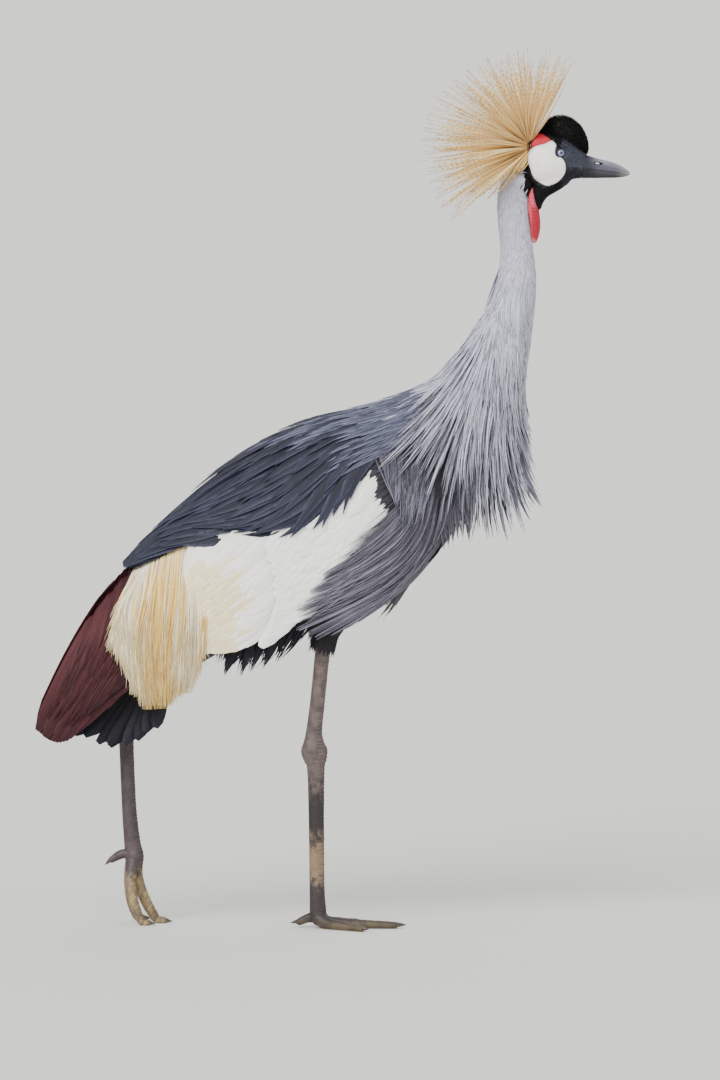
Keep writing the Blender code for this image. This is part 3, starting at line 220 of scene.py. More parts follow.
def along_lines(lines, r, first, last, steps):
    """Side-view places on a smooth curve across several lines, from one share of the way to another."""
    knots = np.stack([spread(line, np.clip(r, 0, 1)) for line in lines])
    t = np.clip(first[:, None] + (last - first)[:, None] * np.linspace(0, 1, steps + 1), 0,
                1) * (len(lines) - 1)
    i = np.minimum(t.astype(int), len(lines) - 2)
    each = np.arange(len(r))[:, None]
    return eased(*(knots[np.clip(i + k, 0, len(lines) - 1), each] for k in (-1, 0, 1, 2)), (t - i)[..., None])


def facing(xz, side, share=0.5):
    """Where a feather faces: part of the way from straight out to the side to square to the body under it."""
    s, height, tall, wide = side_height(xz)
    forward, power = line_at(s)[1], power_at(s)
    a = np.clip(np.abs(height) / tall, 0, 1)
    b = (1 - a**power) ** (1 / power)
    above, aside = np.sign(height) * a ** (power - 1) / tall, b ** (power - 1) / wide
    out = np.stack([-forward[..., 1] * above, side * aside, forward[..., 0] * above], -1)
    return unit(unit(out) * share + np.array((0.0, side * (1 - share), 0.0)))


def draped(places, side, lifts, fall=0.002, extra=0.0):
    """Paths that the side view shows at these places. They lie on the body and hang free past its edge."""
    steps = places.shape[1] - 1
    lift = rising(lifts, steps) + np.asarray(extra)[..., None] * np.linspace(0, 1, steps + 1)
    path = on_side(places, side, np.broadcast_to(lift, places.shape[:2]))
    reach = np.abs(path[..., 1])
    for k in range(1, steps + 1):
        reach[:, k] = np.maximum(reach[:, k], reach[:, k - 1] - fall)
    path[..., 1] = side * reach
    return path, facing(places, side)


# %% [markdown]
# Short ways to build materials
# Every finish is worked out from formulas, with no pictures. Effects that several finishes share are node
# groups that give colours, values and normals, and each material keeps a shader of its own with its
# constants on it.

# %% Helpers for nodes
class Net:
    """Adds nodes to a tree and joins them."""

    def __init__(self, tree):
        self.tree = tree

    def add(self, kind, inputs=None, **settings):
        node = self.tree.nodes.new("ShaderNode" + kind)
        for key, value in settings.items():
            setattr(node, key, value)
        for key, value in (inputs or {}).items():
            if isinstance(value, bpy.types.NodeSocket):
                self.tree.links.new(value, node.inputs[key])
            else:
                node.inputs[key].default_value = value
        return node

    def feed(self, node, **sockets):
        for key, socket in sockets.items():
            self.tree.links.new(socket, node.inputs[key.replace("_", " ")])

    def math(self, operation, a, b=0.0):
        return self.add("Math", {0: a, 1: b}, operation=operation).outputs[0]

    def plus(self, a, b):
        return self.math("ADD", a, b)

    def times(self, a, b):
        return self.math("MULTIPLY", a, b)

    def varied(self, value, middle, amount):
        """How far a value is from its middle, times an amount."""
        return self.times(self.math("SUBTRACT", value, middle), amount)

    def mix(self, share, a, b):
        return self.add("Mix", {0: share, 6: a, 7: b}, data_type="RGBA").outputs[2]

    def ramp(self, value, low, high, out_low=0.0, out_high=1.0):
        inputs = {0: value, 1: low, 2: high, 3: out_low, 4: out_high}
        return self.add("MapRange", inputs, interpolation_type="SMOOTHSTEP").outputs[0]

    def kept(self, name, output="Fac"):
        return self.add("Attribute", attribute_name=name).outputs[output]

    def lane(self):
        """The place on a feather in metres: across the shaft, and along it."""
        return self.add("SeparateXYZ", {0: self.add("UVMap", uv_map="vane").outputs[0]}).outputs

    def noise(self, line, scale=1.0, detail=2.0):
        inputs = {"W": line, "Scale": scale, "Detail": detail}
        return self.add("TexNoise", inputs, noise_dimensions="1D").outputs[0]

    def lighter(self, shade, light):
        return self.add("HueSaturation", {"Value": self.plus(light, 1.0), "Color": shade}).outputs[0]

    def relief(self, strength, distance, height):
        return self.add("Bump", {"Strength": strength, "Distance": distance, "Height": height}).outputs[0]


def colour(red, green, blue):
    """A colour given in the 0 to 255 steps of a screen, as light."""
    steps = (red / 255, green / 255, blue / 255)
    return tuple(c / 12.92 if c <= 0.04045 else ((c + 0.055) / 1.055) ** 2.4 for c in steps) + (1.0,)


def new_group(name, inputs, **outputs):
    """A node group with its sockets. Returns the helper, its inputs and its output node."""
    tree = bpy.data.node_groups.new(name, "ShaderNodeTree")
    for direction, sockets in (("INPUT", inputs), ("OUTPUT", outputs)):
        for label, kind in sockets.items():
            tree.interface.new_socket(label, in_out=direction, socket_type="NodeSocket" + kind)
    return Net(tree), tree.nodes.new("NodeGroupInput").outputs, tree.nodes.new("NodeGroupOutput")


def new_finish(name, **constants):
    """A material with one Principled shader and its constants."""
    finish = bpy.data.materials.new(name)
    finish.use_nodes = True
    shader = finish.node_tree.nodes["Principled BSDF"]
    for key, value in constants.items():
        shader.inputs[key.replace("_", " ")].default_value = value
    return finish, Net(finish.node_tree), shader


# %% [markdown]
# The look of a feather
# A vane is made of barbs that leave the shaft on a slant and point to the tip. On a crane's neck and breast
# the barbs of the fringe hang apart, so the edges look paler or darker than the middle; where the fringe of
# the hair-like neck and breast strands is darker, it is also painted shade in the gaps between the strands.
# The group takes a colour for the root, the middle, the tip and the fringe, varies them from feather to
# feather, and draws the barbs and shaft.

# %% The vane group
VANE_INPUTS = dict.fromkeys(("Root", "Body", "Tip", "Fringe"), "Color")
VANE_INPUTS.update(dict.fromkeys(("Spread", "Barbs", "Fringe share"), "Float"))
net, given, result = new_group("Vane", VANE_INPUTS, Color="Color", Normal="Vector")
lane = net.lane()
along, aside, tone = net.kept("along"), net.kept("aside"), net.kept("tone")
off_shaft = net.math("ABSOLUTE", lane[0])
slant = net.math("SUBTRACT", lane[1], net.times(off_shaft, 1.1))
barbs = net.noise(net.plus(net.times(slant, 1600.0), net.times(tone, 90.0)))
clumps = net.noise(net.plus(net.times(slant, 210.0), net.times(tone, 30.0)))
shaft = net.ramp(off_shaft, 0.0001, 0.00035, 1.0, 0.0)
shade = net.mix(net.ramp(along, 0.05, 0.45), given["Root"], given["Body"])
shade = net.mix(net.ramp(along, 0.62, 1.0), shade, given["Tip"])
frayed = net.plus(aside, net.varied(clumps, 0.5, 0.5))
shade = net.mix(net.times(net.ramp(frayed, 0.45, 0.95), given["Fringe share"]), shade, given["Fringe"])
light = net.plus(net.varied(tone, 0.5, given["Spread"]), net.varied(barbs, 0.5, given["Barbs"]))
light = net.plus(light, net.times(shaft, -0.12))
height = net.plus(barbs, net.times(shaft, 1.5))
net.feed(result, Color=net.lighter(shade, light), Normal=net.relief(0.55, 0.0003, height))
VANE = net.tree


def vane_finish(name, root, body, tip, fringe, spread_, barbs_, fringe_share, roughness=0.62, sheen=0.08,
                gloss=0.35):
    """A feather material with its own shader."""
    finish, net, shader = new_finish(name + "_coat", Roughness=roughness, Sheen_Weight=sheen,
                                     Sheen_Roughness=0.4,
                                     Specular_IOR_Level=gloss)
    tints = (colour(*tint) for tint in (root, body, tip, fringe))
    vane = net.add("Group", dict(zip(VANE_INPUTS, (*tints, spread_, barbs_, fringe_share))), node_tree=VANE)
    net.feed(shader, Base_Color=vane.outputs["Color"], Normal=vane.outputs["Normal"])
    return finish


# %% [markdown]
# The colours of the plumage
# The neck is a pale lilac grey over darker down, so its roots and fringes are dark; in the cape, hackle,
# dusky, streamer and shoulder rows the dark roots and fringes are also painted shade in the gaps between the
# strands. The breast and back are slate, the coverts white going to cream at the rear, the plumes straw to
# gold, the secondaries chestnut and the tail black. Each row is a root, middle, tip and fringe colour, how
# much feathers vary, how strong the barbs are and how wide the fringe is, and then how rough, velvety and
# glossy the feather is where it isn't like most.

# %% Feather finishes
COATS = (
    ("neck", (158, 158, 172), (198, 198, 212), (196, 196, 212), (142, 142, 158), 0.2, 0.35, 0.55),
    # The dark roots and fringes of the next five rows are partly painted shade in the gaps between strands.
    ("cape", (150, 151, 167), (192, 193, 209), (208, 209, 223), (96, 97, 117), 0.5, 0.45, 0.8),
    ("hackle", (82, 83, 100), (172, 174, 194), (210, 211, 226), (52, 53, 70), 0.8, 0.5, 0.9),
    ("dusky", (34, 34, 42), (98, 97, 110), (146, 146, 162), (40, 40, 50), 0.6, 0.5, 0.8),
    ("streamer", (24, 23, 28), (84, 82, 95), (140, 138, 154), (22, 20, 27), 1.2, 0.5, 0.95),
    ("shoulder", (28, 27, 33), (74, 73, 86), (132, 131, 148), (28, 26, 34), 1.3, 0.5, 0.95),
    ("breast", (18, 17, 21), (36, 35, 42), (52, 51, 61), (20, 19, 24), 0.6, 0.6, 0.6),
    ("belly", (9, 9, 12), (28, 26, 32), (48, 45, 54), (9, 9, 12), 0.8, 0.6, 0.5, 0.62, 0.0, 0.2),
    ("thigh", (9, 9, 12), (24, 23, 27), (36, 35, 39), (9, 9, 12), 0.5, 0.6, 0.4, 0.62, 0.02, 0.2),
    ("face", (9, 9, 12), (13, 13, 16), (19, 19, 23), (9, 9, 12), 0.4, 0.4, 0.3, 0.7, 0.0, 0.15),
    ("jaw", (24, 24, 29), (36, 37, 44), (44, 45, 53), (9, 9, 12), 0.4, 0.4, 0.3, 0.7, 0.0, 0.2),
    ("lore", (48, 49, 59), (68, 70, 83), (80, 82, 96), (46, 48, 58), 0.35, 0.4, 0.4, 0.7, 0.02, 0.25),
    ("mantle", (40, 42, 56), (68, 71, 90), (92, 95, 116), (136, 139, 162), 0.6, 0.4, 0.5, 0.6, 0.04, 0.25),
    ("scapular", (17, 18, 26), (29, 31, 43), (40, 42, 57), (72, 75, 98), 0.45, 0.35, 0.4, 0.6, 0.02, 0.25),
    ("covert", (240, 238, 234), (246, 245, 243), (250, 249, 247), (232, 228, 222), 0.08, 0.2, 0.35),
    ("cream", (246, 244, 238), (248, 241, 220), (246, 229, 184), (240, 226, 190), 0.15, 0.3, 0.3),
    ("pale_straw", (248, 242, 224), (244, 234, 204), (234, 220, 182), (204, 184, 140), 0.4, 0.4, 0.4, 0.62,
     0.0),
    ("straw", (248, 228, 168), (244, 204, 108), (232, 196, 116), (206, 156, 70), 0.45, 0.5, 0.4, 0.62, 0.0),
    ("chestnut", (44, 16, 19), (66, 27, 31), (46, 17, 22), (84, 42, 48), 0.5, 0.45, 0.3, 0.6, 0.0, 0.22),
    ("tail", (9, 9, 12), (17, 17, 26), (23, 23, 34), (9, 9, 12), 0.4, 0.5, 0.5, 0.45, 0.0, 0.25),
    ("velvet", (2, 2, 3), (5, 5, 6), (10, 10, 12), (9, 9, 12), 0.5, 0.3, 0.1, 0.85, 0.05, 0.1),
)
coats = {row[0]: vane_finish(*row) for row in COATS}

# %% [markdown]
# Bristles, bare skin and horn
# A crest bristle is twisted along its length, so light and dark bands follow each other to a dark tip. Its
# mesh is a flat strip, so these bands are painted light and painted shade of the twist, and its roots are
# painted darker as painted shade where the bristles crowd. Bare skin has pores and fine folds. Bill, claws
# and leg scales are horn: smoother, with a little polish.

# %% The bristle, skin and horn finishes
coats["crest"], net, shader = new_finish("crest_coat", Roughness=0.5, Sheen_Weight=0.1)
lane, tone, along = net.lane(), net.kept("tone"), net.kept("along")
turns = net.plus(net.times(lane[1], 900.0), net.times(tone, 60.0))
# Painted light and shade: the bands stand in for the twist of a flat strip.
painted_twist_shade = net.ramp(net.math("SINE", turns), -0.6, 0.7)
shade = net.mix(tone, colour(255, 238, 182), colour(228, 178, 88))
shade = net.mix(net.times(painted_twist_shade, net.ramp(along, 0.35, 0.8, 0.08, 0.65)), shade, colour(158, 112, 58))
# Painted shade: darker roots where the bristles crowd.
shade = net.mix(net.ramp(along, 0.0, 0.4, 0.55, 0.0), shade, colour(196, 136, 56))
shade = net.mix(net.ramp(along, 0.90, 1.0, 0.0, 0.85), shade, colour(46, 32, 22))
net.feed(shader, Base_Color=shade, Normal=net.relief(0.5, 0.0003, painted_twist_shade))

net, given, result = new_group("Hide", {"Tint": "Color", "Pore size": "Float", "Depth": "Float",
                                        "Mottle": "Float"},
                               Color="Color", Normal="Vector", Roughness="Float")
place = net.add("TexCoord").outputs["Object"]
fine = net.math("DIVIDE", 1.0, given["Pore size"])
pores = net.add("TexVoronoi", {"Vector": place, "Scale": fine}, feature="SMOOTH_F1").outputs[0]
folds = net.add("TexNoise", {"Vector": place, "Scale": net.times(fine, 0.35), "Detail": 4.0}).outputs[0]
blotch = net.add("TexNoise", {"Vector": place, "Scale": 140.0, "Detail": 3.0}).outputs[0]
light = net.plus(net.varied(blotch, 0.5, given["Mottle"]), net.varied(pores, 0.4, -0.2))
height = net.plus(net.times(pores, -1.0), folds)
net.feed(result, Color=net.lighter(given["Tint"], light), Normal=net.relief(given["Depth"], 0.0004, height),
         Roughness=net.ramp(pores, 0.0, 0.6, 0.42, 0.66))
HIDE = net.tree


def hide_finish(name, tint="tint", pore=0.0012, depth=0.5, mottle=0.5, **constants):
    """A skin or horn material. The tint is a colour, or the name of the colour kept on the points."""
    finish, net, shader = new_finish(name, **constants)
    tint = net.kept(tint, "Color") if isinstance(tint, str) else colour(*tint)
    inputs = {"Tint": tint, "Pore size": pore, "Depth": depth, "Mottle": mottle}
    hide = net.add("Group", inputs, node_tree=HIDE).outputs
    net.feed(shader, Base_Color=hide["Color"], Normal=hide["Normal"], Roughness=hide["Roughness"])
    return finish


skin_finish = hide_finish("skin_finish", "tint", 0.0015, 0.4, 0.4)
cheek_finish = hide_finish("cheek_finish", "tint", 0.0007, 0.35, 0.25, Subsurface_Weight=0.15,
                           Subsurface_Scale=0.002)
wattle_finish = hide_finish("wattle_finish", "tint", 0.0008, 0.7, 0.5, Subsurface_Weight=0.2,
                            Subsurface_Scale=0.002)
bill_finish = hide_finish("bill_finish", "tint", 0.0025, 0.25, 0.45, Coat_Weight=0.05, Coat_Roughness=0.4,
                          Specular_IOR_Level=0.3)
leg_finish = hide_finish("leg_finish", "tint", 0.0016, 0.6, 0.7)
claw_finish = hide_finish("claw_finish", (62, 54, 48), 0.0012, 0.3, 0.5, Coat_Weight=0.2)
print("finishes made:", len(bpy.data.materials))

# %% [markdown]
# One mesh for a whole tract of feathers
# Thousands of feathers can't each be an object, so a tract is one mesh whose points are worked out together.
# Each feather is a closed thin strip, with its shaft as a low ridge. Besides its shape it keeps what the
# finish needs: how far along and how far from the shaft each point is, a number of its own, and a map whose
# patch for each feather sits at the feather's root.

# %% Feathers from paths
PATCH = 0.003
LANCE = (0.35, 0.85, 1.0, 0.95, 0.8, 0.5, 0.06)
PADDLE = (0.35, 0.8, 1.0, 1.05, 1.05, 0.9, 0.25)
THREAD = (0.9, 1.0, 1.0, 0.9, 0.75, 0.5, 0.15)
LOCK = (0.5, 0.9, 1.0, 0.95, 0.8, 0.55, 0.3, 0.03)
BLADE = (0.35, 0.8, 0.95, 1.0, 1.0, 1.0, 0.95, 0.85, 0.35)
SQUARE = (0.45, 0.8, 0.95, 1.0, 1.02, 1.02, 0.98, 0.85, 0.35)
BRISTLE = (0.7, 1.0, 1.0, 0.85, 0.65, 0.4, 0.12)
feather_counts = []


def some(least, more, like):
    """A number for each: the least, and by chance up to so much more."""
    return least + more * chance.random(len(like))


def about(middle, scatter_, like):
    """A number for each, scattered by chance round the middle."""
    return middle + scatter_ * chance.normal(size=len(like))


def flat_mesh(name, points, face_groups, finish):
    """A mesh made fast from arrays: each group holds faces with the same number of corners."""
    corners = np.concatenate([np.asarray(group).ravel() for group in face_groups])
    sizes = np.concatenate([np.full(len(group), np.shape(group)[1]) for group in face_groups])
    mesh = bpy.data.meshes.new(name)
    mesh.vertices.add(len(points))
    mesh.vertices.foreach_set("co", np.asarray(points, np.float32).ravel())
    mesh.loops.add(len(corners))
    mesh.loops.foreach_set("vertex_index", corners.astype(np.int32))
    mesh.polygons.add(len(sizes))
    mesh.polygons.foreach_set("loop_start", (np.cumsum(sizes) - sizes).astype(np.int32))
    mesh.polygons.foreach_set("use_smooth", np.ones(len(sizes), bool))
    mesh.update(calc_edges=True)
    mesh.materials.append(finish)
    made = bpy.data.objects.new(name, mesh)
    bpy.context.scene.collection.objects.link(made)
    return made


def keep_number(mesh, name, values, shape):
    values = np.broadcast_to(values, shape).astype(np.float32).ravel()
    mesh.attributes.new(name, "FLOAT", "POINT").data.foreach_set("value", values)


def keep_map(mesh, name, u, v, shape):
    places = np.stack([np.broadcast_to(u, shape), np.broadcast_to(v, shape)], -1).reshape(-1, 2)
    corners = np.zeros(len(mesh.loops), np.int32)
    mesh.loops.foreach_get("vertex_index", corners)
    mesh.uv_layers.new(name=name).data.foreach_set("uv", places[corners].astype(np.float32).ravel())


def feathers(name, slot, laid_out, half, coat, shape=LANCE, thick=0.0007, camber=0.0, roll=0.0, home=None,
             broad=False, tone=None, chosen=slice(None)):
    """The chosen feathers of a tract as one mesh. The half width may be a least and a chance of more, and
    the roll is how far they turn by chance. Home is each root's place, and the tone may be a steady part
    and a loose one."""
    paths, ups = (part[chosen] for part in laid_out)
    count, rows = paths.shape[:2]
    half = some(*half, paths) if isinstance(half, tuple) else half[chosen] if np.size(half) > 1 else half
    roll = (about(0, roll, paths) if roll else np.zeros(count))[:, None, None]
    home = np.stack(home, -1)[chosen]
    if tone is None:
        tone = chance.random(count)
    else:
        steady, loose = tone
        tone = (some(steady, loose, steady) if loose else steady)[chosen]
    t = np.linspace(0, 1, rows)
    ahead = unit(np.gradient(paths, axis=1))
    across = unit(np.cross(ups, ahead))
    lifted = np.cross(ahead, across)
    cosine, sine = np.cos(roll), np.sin(roll)
    across, lifted = across * cosine + lifted * sine, lifted * cosine - across * sine
    wide = np.broadcast_to(half, (count,))[:, None] * rising(shape, rows - 1)
    marks = (-1.0, -0.5, 0.0, 0.5, 1.0) if broad else (-1.0, 0.0, 1.0)
    columns = []
    for u in marks:
        up = thick * (1 - abs(u)) * (1 - 0.5 * t) - camber * wide * u * u
        columns.append(paths + across * (wide * u)[..., None] + lifted * up[..., None])
    if broad:
        columns.append(paths - lifted * 0.00005)
    wings = np.array(marks + ((0.0,) if broad else ()))
    grid = np.stack(columns, 2)
    deep = len(columns)
    start = (np.arange(count) * rows * deep)[:, None, None]
    ring = np.arange(deep)
    following = np.roll(ring, -1)
    a = start + (np.arange(rows - 1) * deep)[None, :, None]
    sides = np.stack([a + ring, a + ring + deep, a + following + deep, a + following], -1).reshape(-1, 4)
    ends = start[:, 0] + ring[None], start[:, 0] + (rows - 1) * deep + ring[None, ::-1]
    made = flat_mesh(name, grid.reshape(-1, 3), (sides, *ends), coats[coat])
    mesh, size, far = made.data, (count, rows, deep), t[None, :, None]
    keep_number(mesh, "along", far, size)
    keep_number(mesh, "aside", np.abs(wings)[None, None], size)
    keep_number(mesh, "tone", tone[:, None, None], size)
    low, high = home.min(0), home.max(0)
    corner = (0.02 + 0.95 * (home - low) / np.maximum(high - low, 1e-6))[:, :, None, None]
    keep_map(mesh, "OFBake", corner[:, 0] + PATCH * ((wings + 1) / 2), corner[:, 1] + PATCH * far, size)
    run = np.cumsum(np.linalg.norm(np.diff(paths, axis=1, prepend=paths[:, :1]), axis=-1), axis=1)
    keep_map(mesh, "vane", wide[..., None] * wings, run[..., None], size)
    mesh.set_sharp_from_angle(angle=math.radians(70))
    feather_counts.append(count)
    print(f"{name}: {count} feathers, {2 * len(sides) + 2 * count * (deep - 2)} triangles")
    return made


# %% [markdown]
# Skin under the feathers
# Real feathers grow from one unbroken skin, so the trunk, neck, head, throat and thighs are lofted as closed
# forms and merged into one surface. Under the wings the skin fills the cloak, because folded wings hold that
# room.

# %% Lofts and the merged skin
def circle(count):
    """Even angles round a full turn."""
    return np.linspace(0, 2 * math.pi, count, endpoint=False)


def loft(name, grid, finish):
    """A closed tube through rings of points, with its two ends filled."""
    rows, ring = grid.shape[:2]
    a, here = np.arange(rows - 1)[:, None] * ring, np.arange(ring)[None]
    then = np.roll(here, -1)
    sides = np.stack([a + here, a + here + ring, a + then + ring, a + then], -1).reshape(-1, 4)
    made = flat_mesh(name, grid.reshape(-1, 3), (sides, here, (here + (rows - 1) * ring)[:, ::-1]), finish)
    shell = bmesh.new()
    shell.from_mesh(made.data)
    bmesh.ops.recalc_face_normals(shell, faces=shell.faces)
    shell.to_mesh(made.data)
    shell.free()
    return made


def smooth_step(value, low, high):
    t = np.clip((value - low) / (high - low), 0, 1)
    return t * t * (3 - 2 * t)


def joined(name, parts):
    """Several objects made into one."""
    for part in bpy.context.scene.objects:
        part.select_set(part in parts)
    bpy.context.view_layer.objects.active = parts[0]
    bpy.ops.object.join()
    parts[0].name = name
    return parts[0]


def applied(piece, kind, **settings):
    change = piece.modifiers.new("change", kind)
    for key, value in settings.items():
        setattr(change, key, value)
    bpy.context.view_layer.objects.active = piece
    bpy.ops.object.modifier_apply(modifier=change.name)


HEAD_ROWS = metres(
    (2415, 9570, 100, 200, 100), (2470, 9570, 190, 270, 155), (2560, 9570, 260, 290, 185),
    (2680, 9570, 310, 290, 200), (2800, 9570, 310, 270, 185), (2920, 9560, 270, 220, 155),
    (3030, 9530, 200, 165, 120), (3120, 9500, 155, 125, 95), (3180, 9490, 135, 105, 85),
)
HEAD_LAST = len(HEAD_ROWS) - 1.0
SKIN_DEPTH = 0.003


def on_head(t, angle, lift=0.0):
    """Points of the head at t rows from its back, at an angle of 0 on the crown and + on the left."""
    t, angle = np.broadcast_arrays(np.asarray(t, float), np.asarray(angle, float))
    row = through(HEAD_ROWS, t)
    cosine, sine = np.cos(np.radians(angle)), np.sin(np.radians(angle))
    tall = np.where(cosine >= 0, row[..., 2], row[..., 3])
    return np.stack([row[..., 0], (row[..., 4] + lift) * sine, row[..., 1] + (tall + lift) * cosine], -1)


def run_of(line):
    """How far along the line each of its points is."""
    return np.concatenate([[0], np.cumsum(np.linalg.norm(np.diff(line, axis=0), axis=1))])


def limb_grid(rows, steps, ring=32, scale=1.0, bumps=0.0, pitch=0.005):
    """A tube along a limb. A row is a place and the half widths in the side plane and across it."""
    curve = spread(rows, np.linspace(0, 1, steps + 1))
    ahead = unit(np.gradient(curve[:, :3], axis=0))
    aside_way = unit(np.cross(np.cross(ahead, (0.0, 1.0, 0.0)), ahead))
    in_plane = np.cross(ahead, aside_way)
    turn = circle(ring)
    saw = (run_of(curve[:, :3]) / pitch) % 1.0
    swell = 1 + bumps * (saw[:, None] - 0.5) * smooth_step(np.cos(turn), 0.1, 0.6)[None, :]
    high, wide = curve[:, 3, None] * scale * swell, curve[:, 4, None] * scale * swell
    first = in_plane[:, None] * (np.cos(turn) * high)[..., None]
    second = aside_way[:, None] * (np.sin(turn) * wide)[..., None]
    return curve[:, None, :3] + first + second


THIGHS = {
    "right": metres(
        (120, -360, 4700, 240, 140), (60, -360, 4300, 280, 160), (-20, -350, 3950, 220, 150),
        (-80, -340, 3700, 130, 120),
    ),
    "left": metres(
        (-200, 340, 4500, 260, 140), (-350, 350, 4150, 280, 150), (-660, 370, 3860, 200, 140),
        (-900, 390, 3710, 120, 110),
    ),
}
THROAT = metres(
    (2850, 0, 9450, 165, 135), (2720, 0, 9350, 155, 130), (2620, 0, 9250, 125, 115),
    (2560, 0, 9120, 78, 85), (2552, 0, 8980, 42, 50),
)
CROWN = metres(
    (2480, 0, 9770, 100, 130), (2620, 0, 9830, 120, 150), (2850, 0, 9840, 140, 160),
    (3040, 0, 9735, 112, 122), (3115, 0, 9625, 66, 78),
)
station, around = np.linspace(2.4, LAST_STATION, 250)[:, None], np.linspace(-180, 180, 96,
                                                                            endpoint=False)[None]
sunk = SKIN_DEPTH + 0.009 * (1 - smooth_step(station, 3.5, 6.0))
bare, clothed = on_body(station, around, -sunk, False), on_body(station, around, -sunk - 0.003, True)
wing_share = smooth_step(station, 3.4, 5.6) * (1 - smooth_step(station, 9.4, 11.4))
wing_share = wing_share * (1 - smooth_step(np.abs(around), 95, 130))
forms = {
    "skin": bare + (clothed - bare) * wing_share[..., None],
    "skull": on_head(np.linspace(0, HEAD_LAST, 90)[:, None], around, -0.0008),
    "throat": limb_grid(THROAT, 30),
    "crown": limb_grid(CROWN, 30, 48, 0.95),
    "thigh_r": limb_grid(THIGHS["right"], 30, scale=0.86),
    "thigh_l": limb_grid(THIGHS["left"], 30, scale=0.86),
}
skin = joined("skin", [loft(name, grid, skin_finish) for name, grid in forms.items()])
applied(skin, "REMESH", mode="VOXEL", voxel_size=0.0022, use_smooth_shade=True)
applied(skin, "SMOOTH", factor=0.5, iterations=4)
print("skin faces:", len(skin.data.polygons))

# %% [markdown]
# Markings on the skin
# The same markings run through skin and feathers, so that no gap shows a wrong colour. Each point of the
# skin takes the colour of the tract over it: black head, pale neck, dark slate breast, black belly and dark
# wings.

# %% Colour the skin and sink the eye sockets
EYE_MIDDLE, EYE_RADIUS = np.array((0.2838, 0.0114, 0.9690)), 0.0056


def points_of(piece):
    places = np.zeros(3 * len(piece.data.vertices), np.float32)
    piece.data.vertices.foreach_get("co", places)
    return places.reshape(-1, 3).astype(float)


def move_points(piece, places):
    piece.data.vertices.foreach_set("co", places.astype(np.float32).ravel())


def as_light(tint):
    return np.asarray(colour(*tint) if len(tint) == 3 else tint)


def painted(tints, *layers):
    """A base colour, with layers of a colour and its share at each point laid over it in turn."""
    tints = as_light(tints)
    for tint, share in layers:
        tints = tints + (as_light(tint) - tints) * np.asarray(share)[:, None]
    return tints


def keep_tint(piece, tints):
    layer = piece.data.color_attributes.new(name="tint", type="FLOAT_COLOR", domain="POINT")
    layer.data.foreach_set("color", np.asarray(tints, np.float32).ravel())


def black_from(z):
    """Where the black of the face begins behind it, for each height in the side view."""
    edge = np.interp(z, (0.8925, 0.915, 0.930, 0.965, 0.985, 1.0),
                     (0.2560, 0.2455, 0.2412, 0.2420, 0.2460, 0.2540))
    return np.where(z > 0.86, edge, 1.0)


def mouth_height(x):
    """The height of the mouth line and of its run back over the cheek."""
    return np.interp(x, (0.285, 0.3075, 0.370), (0.9530, 0.9512, 0.9425))


places = points_of(skin)
for side in SIDES.values():
    away = np.linalg.norm(places - EYE_MIDDLE * (1, side, 1), axis=1)
    places[:, 1] -= side * (0.0016 * (1 - smooth_step(away, 0.0064, 0.0094)))
move_points(skin, places)
s, height = side_height(places[:, [0, 2]])[:2]
lores = painted((40, 42, 49), ((64, 69, 81), smooth_step(places[:, 2] - mouth_height(places[:, 0]), -0.003,
                                                         0.002)))
keep_tint(skin, painted(
    (48, 24, 28),
    ((14, 14, 17), np.maximum(smooth_step(s, 4.2, 5.4), height < 0.02)),
    ((36, 37, 46), smooth_step(s, 9.6, 11.0)),
    ((88, 87, 98), smooth_step(s, 11.8, 13.2)),
    ((140, 138, 150), smooth_step(s, 14.0, 15.6)),
    ((12, 12, 14), smooth_step(places[:, 0] - black_from(places[:, 2]), -0.001, 0.001)),
    (lores, smooth_step(places[:, 0], 0.288, 0.297)),
))
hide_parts("torso", "breast", "neck_lower", "neck_middle", "neck_upper", "head", "thigh_left",
            "thigh_right")

# %% [markdown]
# Bare cheek and red patch
# The white cheek of this crane is bare skin, with a small red patch over it. It is drawn as an outline in
# the side view and built as a fine sheet on the head, whose edge dips under the black feathers round it.

# %% Cheeks
CHEEK = metres(
    (2730, 9850), (2780, 9815), (2792, 9778), (2781, 9738), (2777, 9690), (2798, 9652), (2855, 9632),
    (2897, 9580), (2910, 9506), (2897, 9432), (2848, 9362), (2780, 9308), (2681, 9278), (2607, 9304),
    (2533, 9348), (2490, 9407), (2461, 9494), (2434, 9568), (2422, 9654), (2440, 9716), (2496, 9765),
    (2557, 9790), (2632, 9809),
)
RED_PATCH = metres(
    (2570, 9952), (2632, 9922), (2718, 9860), (2675, 9815), (2595, 9790), (2505, 9755), (2441, 9700),
    (2465, 9790), (2508, 9865), (2543, 9922),
)


def inside(places, outline):
    """How far each side-view place lies inside a smooth outline. Outside it the number is negative."""
    wrapped = np.concatenate([outline[-1:], outline, outline[:2]])
    edge = through(wrapped, np.linspace(1, len(outline) + 1, 12 * len(outline), endpoint=False))
    after = np.roll(edge, -1, axis=0)
    p, way = places[..., None, :], after - edge
    share = np.clip(np.sum((p - edge) * way, -1) / np.sum(way * way, -1), 0, 1)
    distance = np.min(np.linalg.norm(p - edge - way * share[..., None], axis=-1), axis=-1)
    crosses = (edge[:, 1] > p[..., 1]) != (after[:, 1] > p[..., 1])
    flat = np.where(np.abs(way[:, 1]) < 1e-9, 1e-9, way[:, 1])
    crosses &= p[..., 0] < edge[:, 0] + (p[..., 1] - edge[:, 1]) / flat * way[:, 0]
    return np.where(np.sum(crosses, -1) % 2 == 1, distance, -distance)


head_tree = BVHTree.FromObject(skin, bpy.context.evaluated_depsgraph_get())


def skin_reach(x, z, side):
    """How far out the skin lies at each place of a side-view grid, or 0 where there is none."""
    reach = np.zeros(x.shape)
    for spot in np.ndindex(x.shape):
        hit = head_tree.ray_cast(Vector((x[spot], side * 0.1, z[spot])), Vector((0, -side, 0)))[0]
        reach[spot] = abs(hit.y) if hit and hit.y * side > 0 else 0.0
    return reach


